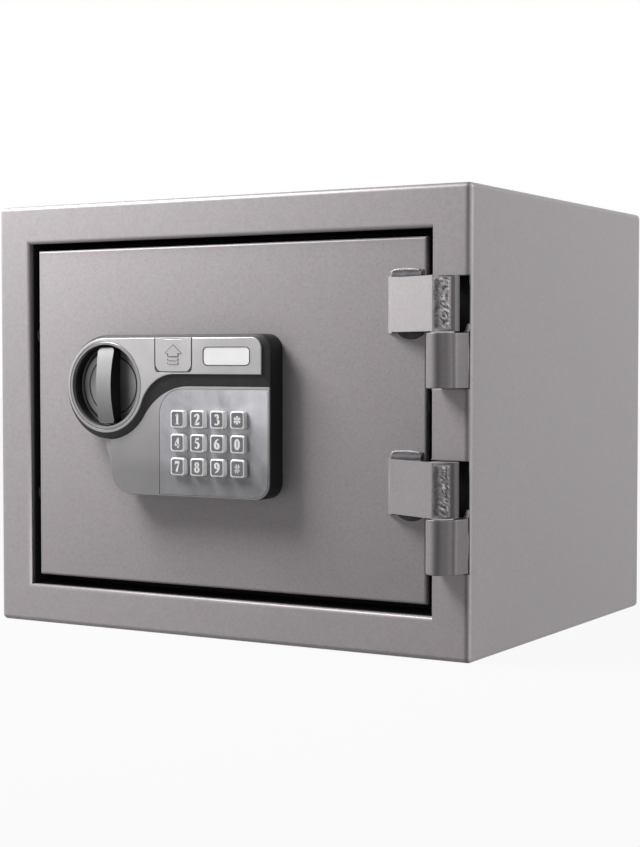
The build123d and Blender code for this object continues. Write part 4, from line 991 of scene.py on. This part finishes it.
# Printed signs: strokes of (across, up, half width) in hundredths of the sign's height
SIGN_CENTRE = (31, 50)
STAR_RAYS = [radians(30 + 60 * n) for n in range(6)]
GLYPHS = {
    "1": [[(10, 80, 1.5), (30, 95, 6)], [(33, 98, 8.5), (33, 3, 8.5)], [(13, 3, 3), (53, 3, 3)]],
    "2": [[(9, 72, 7.5), (13, 88, 5.5), (30, 96, 4.5), (47, 87, 8), (47, 64, 9), (28, 34, 6),
         (8, 8, 3.5)], [(6, 9, 8), (48, 9, 8.5), (58, 24, 2)]],
    "3": [[(9, 80, 6), (20, 94, 4.5), (38, 92, 6.5), (44, 74, 8.5), (34, 56, 5), (20, 53, 3)],
         [(20, 54, 3), (42, 47, 6.5), (50, 26, 9), (36, 7, 5), (18, 5, 4), (9, 13, 7.5)]],
    "4": [[(36, 95, 4), (5, 31, 3.5)], [(3, 29, 6), (60, 29, 6)], [(41, 98, 8.5), (41, 2, 8.5)]],
    "5": [[(17, 90, 7.5), (54, 93, 8)], [(19, 93, 3.5), (13, 52, 3)], [(13, 54, 3), (34, 58, 6),
         (51, 38, 9), (44, 12, 7.5), (24, 4, 4), (9, 13, 7)]],
    "6": [[(52, 95, 2), (27, 81, 5.5), (13, 50, 9), (16, 18, 8.5), (32, 4, 4), (48, 17, 8.5),
         (48, 42, 8.5), (34, 56, 4), (17, 46, 3)]],
    "7": [[(6, 90, 8.5), (57, 90, 8.5)], [(55, 86, 3), (36, 46, 6), (24, 2, 8.5)], [(7, 92, 3),
         (5, 70, 1.5)]],
    "8": [["loop", 31, 74, 16, 20, 7.5, 4], ["loop", 31, 28, 19, 24, 8.5, 4]],
    "9": [[(10, 5, 2), (35, 19, 5.5), (49, 50, 9), (46, 82, 8.5), (30, 96, 4), (14, 83, 8.5),
         (14, 58, 8.5), (28, 44, 4), (45, 54, 3)]],
    "0": [["loop", 31, 50, 19, 46, 9, 4]],
    "star": [[(31, 50, 3), (31 + 30 * cos(a), 50 + 30 * sin(a), 8.5)]
             for a in STAR_RAYS],
    "hash": [[(17, 12, 5), (26, 88, 5)], [(38, 12, 5), (47, 88, 5)], [(4, 34, 5), (58, 34, 5)],
         [(6, 65, 5), (60, 65, 5)]],
}
SIGN_HEIGHT = {"star": 10.4, "hash": 8.6}
SIGN_WEIGHT = {"star": 1.2, "hash": 1.1, "4": 1.3, "8": 1.3}


def smooth_path(points, steps=7):
    """Points of a smooth line through the control points, with all their values."""
    if len(points) < 3:
        return [tuple(map(float, point)) for point in points]
    ends = [points[0], *points, points[-1]]
    out = []
    for index in range(len(points) - 1):
        for step in range(steps):
            t = step / steps
            out.append(tuple(
                0.5 * ((2 * b) + (c - a) * t + (2 * a - 5 * b + 4 * c - d) * t * t
                       + (3 * b - a - 3 * c + d) * t**3)
                for a, b, c, d in zip(*ends[index : index + 4])
            ))
    out.append(points[-1])
    return out


def stroke_path(stroke, steps=28):
    """The centre line of one stroke; a loop closes on itself."""
    if stroke[0] != "loop":
        return smooth_path(stroke), False
    _, x, y, across, up, thick, thin = stroke
    path = []
    for step in range(steps):
        a = 2 * pi * step / steps
        half = thin + (thick - thin) * abs(cos(a)) ** 1.5
        path.append((x + across * cos(a), y + up * sin(a), half))
    return path, True


def glyph_mesh(name, strokes, x, z, tall, depth, thick, bold):
    """Raised strokes of one printed sign, centred on a point of the front view."""
    points, faces = [], []
    for stroke in strokes:
        path, closed = stroke_path(stroke)
        count = len(path)
        first = len(points)
        for index, (px, pz, half) in enumerate(path):
            before = path[index - 1] if index or closed else path[0]
            after = path[(index + 1) % count] if index < count - 1 or closed else path[-1]
            run = Vector((after[0] - before[0], after[1] - before[1])).normalized()
            side = Vector((-run.y, run.x)) * half * bold
            for sign in (1, -1):
                u = x + (px + sign * side.x - SIGN_CENTRE[0]) * tall / 100
                v = z + (pz + sign * side.y - SIGN_CENTRE[1]) * tall / 100
                points += [at(u, depth, v), at(u, depth - thick, v)]
        for index in range(count if closed else count - 1):
            a = first + 4 * index
            b = first + 4 * ((index + 1) % count)
            faces += [
                (a + 1, b + 1, b + 3, a + 3), (a, a + 2, b + 2, b),
                (a, b, b + 1, a + 1), (a + 2, a + 3, b + 3, b + 2),
            ]
        if not closed:
            a, b = first, first + 4 * (count - 1)
            faces += [(a, a + 1, a + 3, a + 2), (b, b + 2, b + 3, b + 1)]
    return tidy_shell(mesh_from(name, points, faces), 1e-9)


def print_keys():
    """Grey printed face and white sign on each key."""
    face = printed_face_recipe()
    thick = 0.08
    for count, name in enumerate(KEY_NAMES):
        row, column = divmod(count, len(KEY_COLUMNS))
        x, z = KEY_COLUMNS[column], KEY_ROWS[row]
        mesh = grow(
            face, f"print_{name}", PRINT_FINISH, Centre=at(x, KEY_FACE + 0.02, z),
            Width=10.3 * MM, Height=11.2 * MM, Corner=1.7 * MM, Thickness=thick * MM,
        )
        add_piece(f"print_{name}", tidy_shell(mesh), f"press_{name}")
        tall = SIGN_HEIGHT.get(name, 8.1)
        bold = SIGN_WEIGHT.get(name, 1.45)
        depth = KEY_FACE - 0.04
        sign = glyph_mesh(f"sign_{name}", GLYPHS[name], x, z, tall, depth, thick, bold)
        add_piece(f"sign_{name}", sign, f"press_{name}", INK_FINISH)


# Sliding cover and window
def raised_plate(name, outline, rise, edge):
    """A flat shape raised off the fascia with sloping edges, from a front-view outline."""
    depth = FASCIA + 0.05
    middle = Vector([sum(values) for values in zip(*outline)]) / len(outline)
    count = len(outline)
    points = [at(x, depth, z) for x, z in outline]
    for x, z in outline:
        inward = (middle - Vector((x, z))).normalized() * edge
        points.append(at(x + inward.x, depth - rise, z + inward.y))
    faces = [tuple(range(count, 2 * count)), tuple(reversed(range(count)))]
    for a in range(count):
        b = (a + 1) % count
        faces.append((a, b, b + count, a + count))
    return tidy_shell(mesh_from(name, points, faces))


def cover_arrow():
    """Raised arrow with two bars under it, to show which way the cover slides, each outlined by a
    painted shade line.
    """
    wing, shaft = 7.6, 4.7
    shapes = [[(0, 226.2), (wing, 220.0), (shaft, 220.0), (shaft, 217.4), (-shaft, 217.4),
               (-shaft, 220.0), (-wing, 220.0)]]
    for high, low in ((215.8, 214.5), (213.0, 211.7)):
        shapes.append([(-shaft, high), (shaft, high), (shaft, low), (-shaft, low)])
    for count, shape in enumerate(shapes):
        outline = [(COVER_X + x, z) for x, z in shape]
        # The second, wider plate of each mark is dark: a painted shade line round it
        for kind, finish, rise, edge in (
            ("mark", FINISHES["silver"], 0.6, 0.5), ("crease", SHADE_LINE, 0.12, -0.62)
        ):
            name = f"cover_{kind}_{count + 1}"
            mesh = raised_plate(name, outline, rise, edge)
            add_piece(name, mesh, "cover", finish, 20.0)


def cover_groove():
    """Dark cord in the groove round the cover's sides and foot: painted shade in the groove."""
    left, right, low, high = COVER
    path = [(left, high - 0.6), (left, low + 4.0), (left + 1.2, low + 1.2), (left + 4.0, low)]
    path += [(2 * COVER_X - x, z) for x, z in reversed(path)]
    line = [(x, FASCIA, z) for x, z in path]
    mesh = bead("cover_groove", line, SEAM_SHADE, 0.5, 0.3, 1.0, 0.0, 0.0, 1.0)
    add_piece("cover_groove", mesh, "door", smooth=60.0)


def window_gasket():
    """Dark cord round the window: painted shade in its seam."""
    left, right, low, high = WINDOW
    mesh = grow(
        seam_line_recipe(), "window_gasket", SEAM_SHADE,
        Centre=at((left + right) / 2, FASCIA + 0.12, (low + high) / 2),
        Width=(right - left + 0.3) * MM, Height=(high - low + 0.3) * MM,
        Corner=3.6 * MM, Radius=0.42 * MM,
    )
    add_piece("window_gasket", tidy_shell(mesh, 1e-9), "door", smooth=60.0)


# Welds
WELD = weld_recipe()


def bead(name, points, finish, width, flat, pitch, ripple, rough, seed):
    """A bead through these points, given by x, depth and height, pressed to the first's depth."""
    path = smooth_path(points)
    edges = [(a, a + 1) for a in range(len(path) - 1)]
    line = mesh_from("weld_line", [at(*point) for point in path], [], edges)
    return grow(
        WELD, name, finish, line, Face=at(*points[0]).y, Width=width * MM, Flatness=flat,
        Ripple_pitch=pitch * MM, Ripple_depth=ripple, Roughness=rough * MM, Seed=seed,
    )


def weld_beads():
    """Weld beads round the door's leaves and where the knuckles meet the frame."""
    face = DOOR_FACE - 0.2
    toe = LEAF_TOE - 5.2
    beads = {"door": [], "cabinet": []}
    for level in HINGE_LEVELS:
        top = level + KNUCKLE
        beads["door"] += [
            ([(toe, face, level - 1.0), (toe - 0.6, face, level + 20), (toe, face, top + 1)],
             1.5, 1.0),
            ([(toe, face, top - 3), (toe + 1, face, top + 4.4), (toe + 12, face, top + 5.7),
              (172.5, face, top + 5.2)], 1.2, 0.7),
            ([(170.0, face, top + 4.6), (173.6, face, top + 3.2)], 2.2, 0.9),
        ]
        beads["cabinet"] += [
            ([(211.2, 0.2, level - 36), (211.6, 0.2, level - 18), (211.2, 0.2, level - 3)],
             1.5, 0.6),
            ([(208.6, 0.4, level - 1.6), (211.6, 0.2, level + 0.6), (212.4, 0.2, level + 5.5)],
             1.6, 0.8),
        ]
    for body, runs in beads.items():
        parts = [
            bead(f"weld_{body}_{count}", points, BEAD_PAINT, width, flat, 1.3, 0.1, 0.7,
                 3.0 + 7.0 * count)
            for count, (points, width, flat) in enumerate(runs)
        ]
        name = f"weld_beads_{body}"
        add_piece(name, join_meshes(name, parts), body, BEAD_PAINT, 60.0)


def foot_point(level, v, u):
    """Point on the smooth lens of weld under a leaf's lower edge."""
    start, width, height, bulge = 154.0, 22.0, 5.4, 2.6
    across = sin(pi * u) ** 0.55
    rise = bulge * across * sqrt(max(0.0, 1 - v * v)) - 0.2
    return at(start + width * u, DOOR_FACE - rise, level - 0.1 - height * v * across)


def leaf_foot_welds():
    """Smooth lens of weld under each leaf's lower edge, on the door's face, dark with painted
    shade.
    """
    grid = (10, 40)
    for count, level in enumerate(HINGE_LEVELS):
        name = f"leaf_foot_weld_{count + 1}"
        points = grid_points(*grid, foot_point, level)
        mesh = tidy_shell(mesh_from(name, points, grid_faces(*grid, True)), close=True)
        add_piece(name, mesh, "door", WELD_PAINTED_SHADE, 50.0)


def skin_point(count, v, u):
    """Point of the rough weld on one barrel, and the painted shading there: shade above 0,
    highlight below 0.
    """
    first_turn, last_turn = 120.0, 28.0
    z = HINGE_LEVELS[count] + 0.5 + v * (KNUCKLE - 1.0)
    angle = radians(first_turn + (last_turn - first_turn) * u)
    edge = min(1.0, 8 * u, 5 * (1 - u), 14 * v, 14 * (1 - v))
    wander = 0.05 * noise.noise(Vector((z * 0.14, 4.0 * count, 0.0)))
    valley = exp(-(((u - 0.36 - wander) / 0.13) ** 2))
    rugged = exp(-(((u - 0.7) / 0.17) ** 2))
    lumps = noise.fractal(Vector((u * 11, z * 0.7, 5.0 * count)), 0.8, 2.0, 3)
    folds = noise.noise(Vector((u * 7 + 2, z * 0.5 + u * 5, 9.0 + count)))
    rise = SKIN_ROOM * (0.42 * rugged * lumps + 0.36 * rugged * folds - 0.45 * valley)
    rise = edge * rise - SKIN_ROOM * (1 - edge)
    limit = BARREL / max(0.5, sin(angle)) - 0.02
    radius = min(limit, BARREL - 0.18 + rise)
    depth = HINGE[1] - radius * sin(angle)
    # Painted shade in the valley and among the folds, painted highlights on the ridges, speckled
    shade_speckle = noise.fractal(Vector((u * 22, z * 1.6, 5.0 * count)), 0.8, 2.0, 3)
    dip = valley * (1.25 + 0.9 * shade_speckle) + rugged * (0.2 + 1.3 * shade_speckle - 2.2 * folds)
    point = at(HINGE[0] + radius * cos(angle), depth, z)
    return point, max(-1.0, min(1.0, dip * edge))


def weld_skins():
    """Rough weld where each leaf runs into its barrel, with a valley beside it that painted shade
    makes dark.
    """
    grid = (120, 80)
    for count in range(len(HINGE_LEVELS)):
        name = f"weld_skin_{count + 1}"
        points, painted_shadings = zip(*grid_points(*grid, skin_point, count))
        mesh = mesh_from(name, points, grid_faces(*grid))
        mesh.attributes.new("painted_shading", "FLOAT", "POINT").data.foreach_set("value", painted_shadings)
        piece = add_piece(name, mesh, "door", WELD_PAINT, 70.0)
        solid = piece.modifiers.new("wall", "SOLIDIFY")
        solid.thickness = 0.6 * MM
        solid.offset = -1.0


def rear_screws():
    """Six cross-recessed screws round the plug's rear face."""
    low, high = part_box("pan_screws")
    radius = 3.5 * MM
    seat = high.y - 2.0 * MM
    middle = (low.z + high.z) / 2
    places = [
        (x, seat, z)
        for x in (low.x + radius, high.x - radius)
        for z in (low.z + radius, middle, high.z - radius)
    ]
    mesh = grow(
        screw_recipe(), "rear_screws", FINISHES["zinc"], mesh_from("screw_places", places, []),
        Head_radius=radius, Head_rise=1.9 * MM, Seed=3,
    )
    add_piece("rear_screws", mesh, "door", None, 40.0, "pan_screws")


# Stage
def ground(size, grey, glow):
    """Pale floor that keeps a soft shadow and shows white to the camera and in reflections."""
    corners = [(-size, -size, 0), (size, -size, 0), (size, size, 0), (-size, size, 0)]
    mesh = mesh_from("floor", corners, [(0, 1, 2, 3)])
    floor = placed("floor", mesh)
    material = bpy.data.materials.new("pale_floor")
    material.use_nodes = True
    material.node_tree.nodes.clear()
    tree = Tree(material.node_tree)
    mixed = tree.node("MixShader")
    for socket, value in zip(mixed.inputs, (
        tree.product(tree.seen_rays(), glow),
        tree.step("BsdfDiffuse", Color=(grey, grey, grey, 1.0)),
        tree.step("Emission", Strength=1.0),
    )):
        tree.put(socket, value)
    tree.node("OutputMaterial", Surface=mixed.outputs[0])
    mesh.materials.append(material)


def soft_box(name, place, aim, size, power):
    """A square soft light aimed at a point."""
    light = bpy.data.lights.new(name, "AREA")
    light.shape = "RECTANGLE"
    light.size = light.size_y = size
    light.energy = power
    lamp = placed(name, light)
    lamp.location = place
    lamp.rotation_euler = (Vector(aim) - Vector(place)).to_track_quat("-Z", "Y").to_euler()


def studio():
    """White surround, two soft lights and the camera at the photograph's angle."""
    world = bpy.data.worlds.new("studio")
    bpy.context.scene.world = world
    world.use_nodes = True
    tree = Tree(world.node_tree)
    sky = world.node_tree.nodes["Background"].inputs
    level = tree.step("MapRange", Value=tree.seen_rays(), To_Min=0.09, To_Max=1.0)
    tree.put(sky["Strength"], level)
    tree.put(sky["Color"], (1.0, 1.0, 1.0, 1.0))

    soft_box("key_light", (-0.5, -0.5, 0.88), (-0.16, -0.17, 0.3), 0.45, 17.5)
    soft_box("side_light", (2.0, 0.5, 1.1), (0.0, 0.0, 0.17), 1.2, 28.0)

    camera = bpy.data.cameras.new("camera")
    camera.sensor_width = 36.0
    camera.lens = 74.0
    eye = placed("camera", camera)
    eye.location = (0.7433, -1.2762, 0.2165)
    eye.rotation_euler = (radians(87.837), 0.0, radians(30.477))
    bpy.context.scene.camera = eye
    bpy.context.scene.view_settings.view_transform = "Standard"


dress_cad_nodes()
rounded_pieces()
print_keys()
cover_arrow()
cover_groove()
window_gasket()
weld_beads()
leaf_foot_welds()
weld_skins()
rear_screws()
ground(6.0, 0.3, 0.93)
studio()
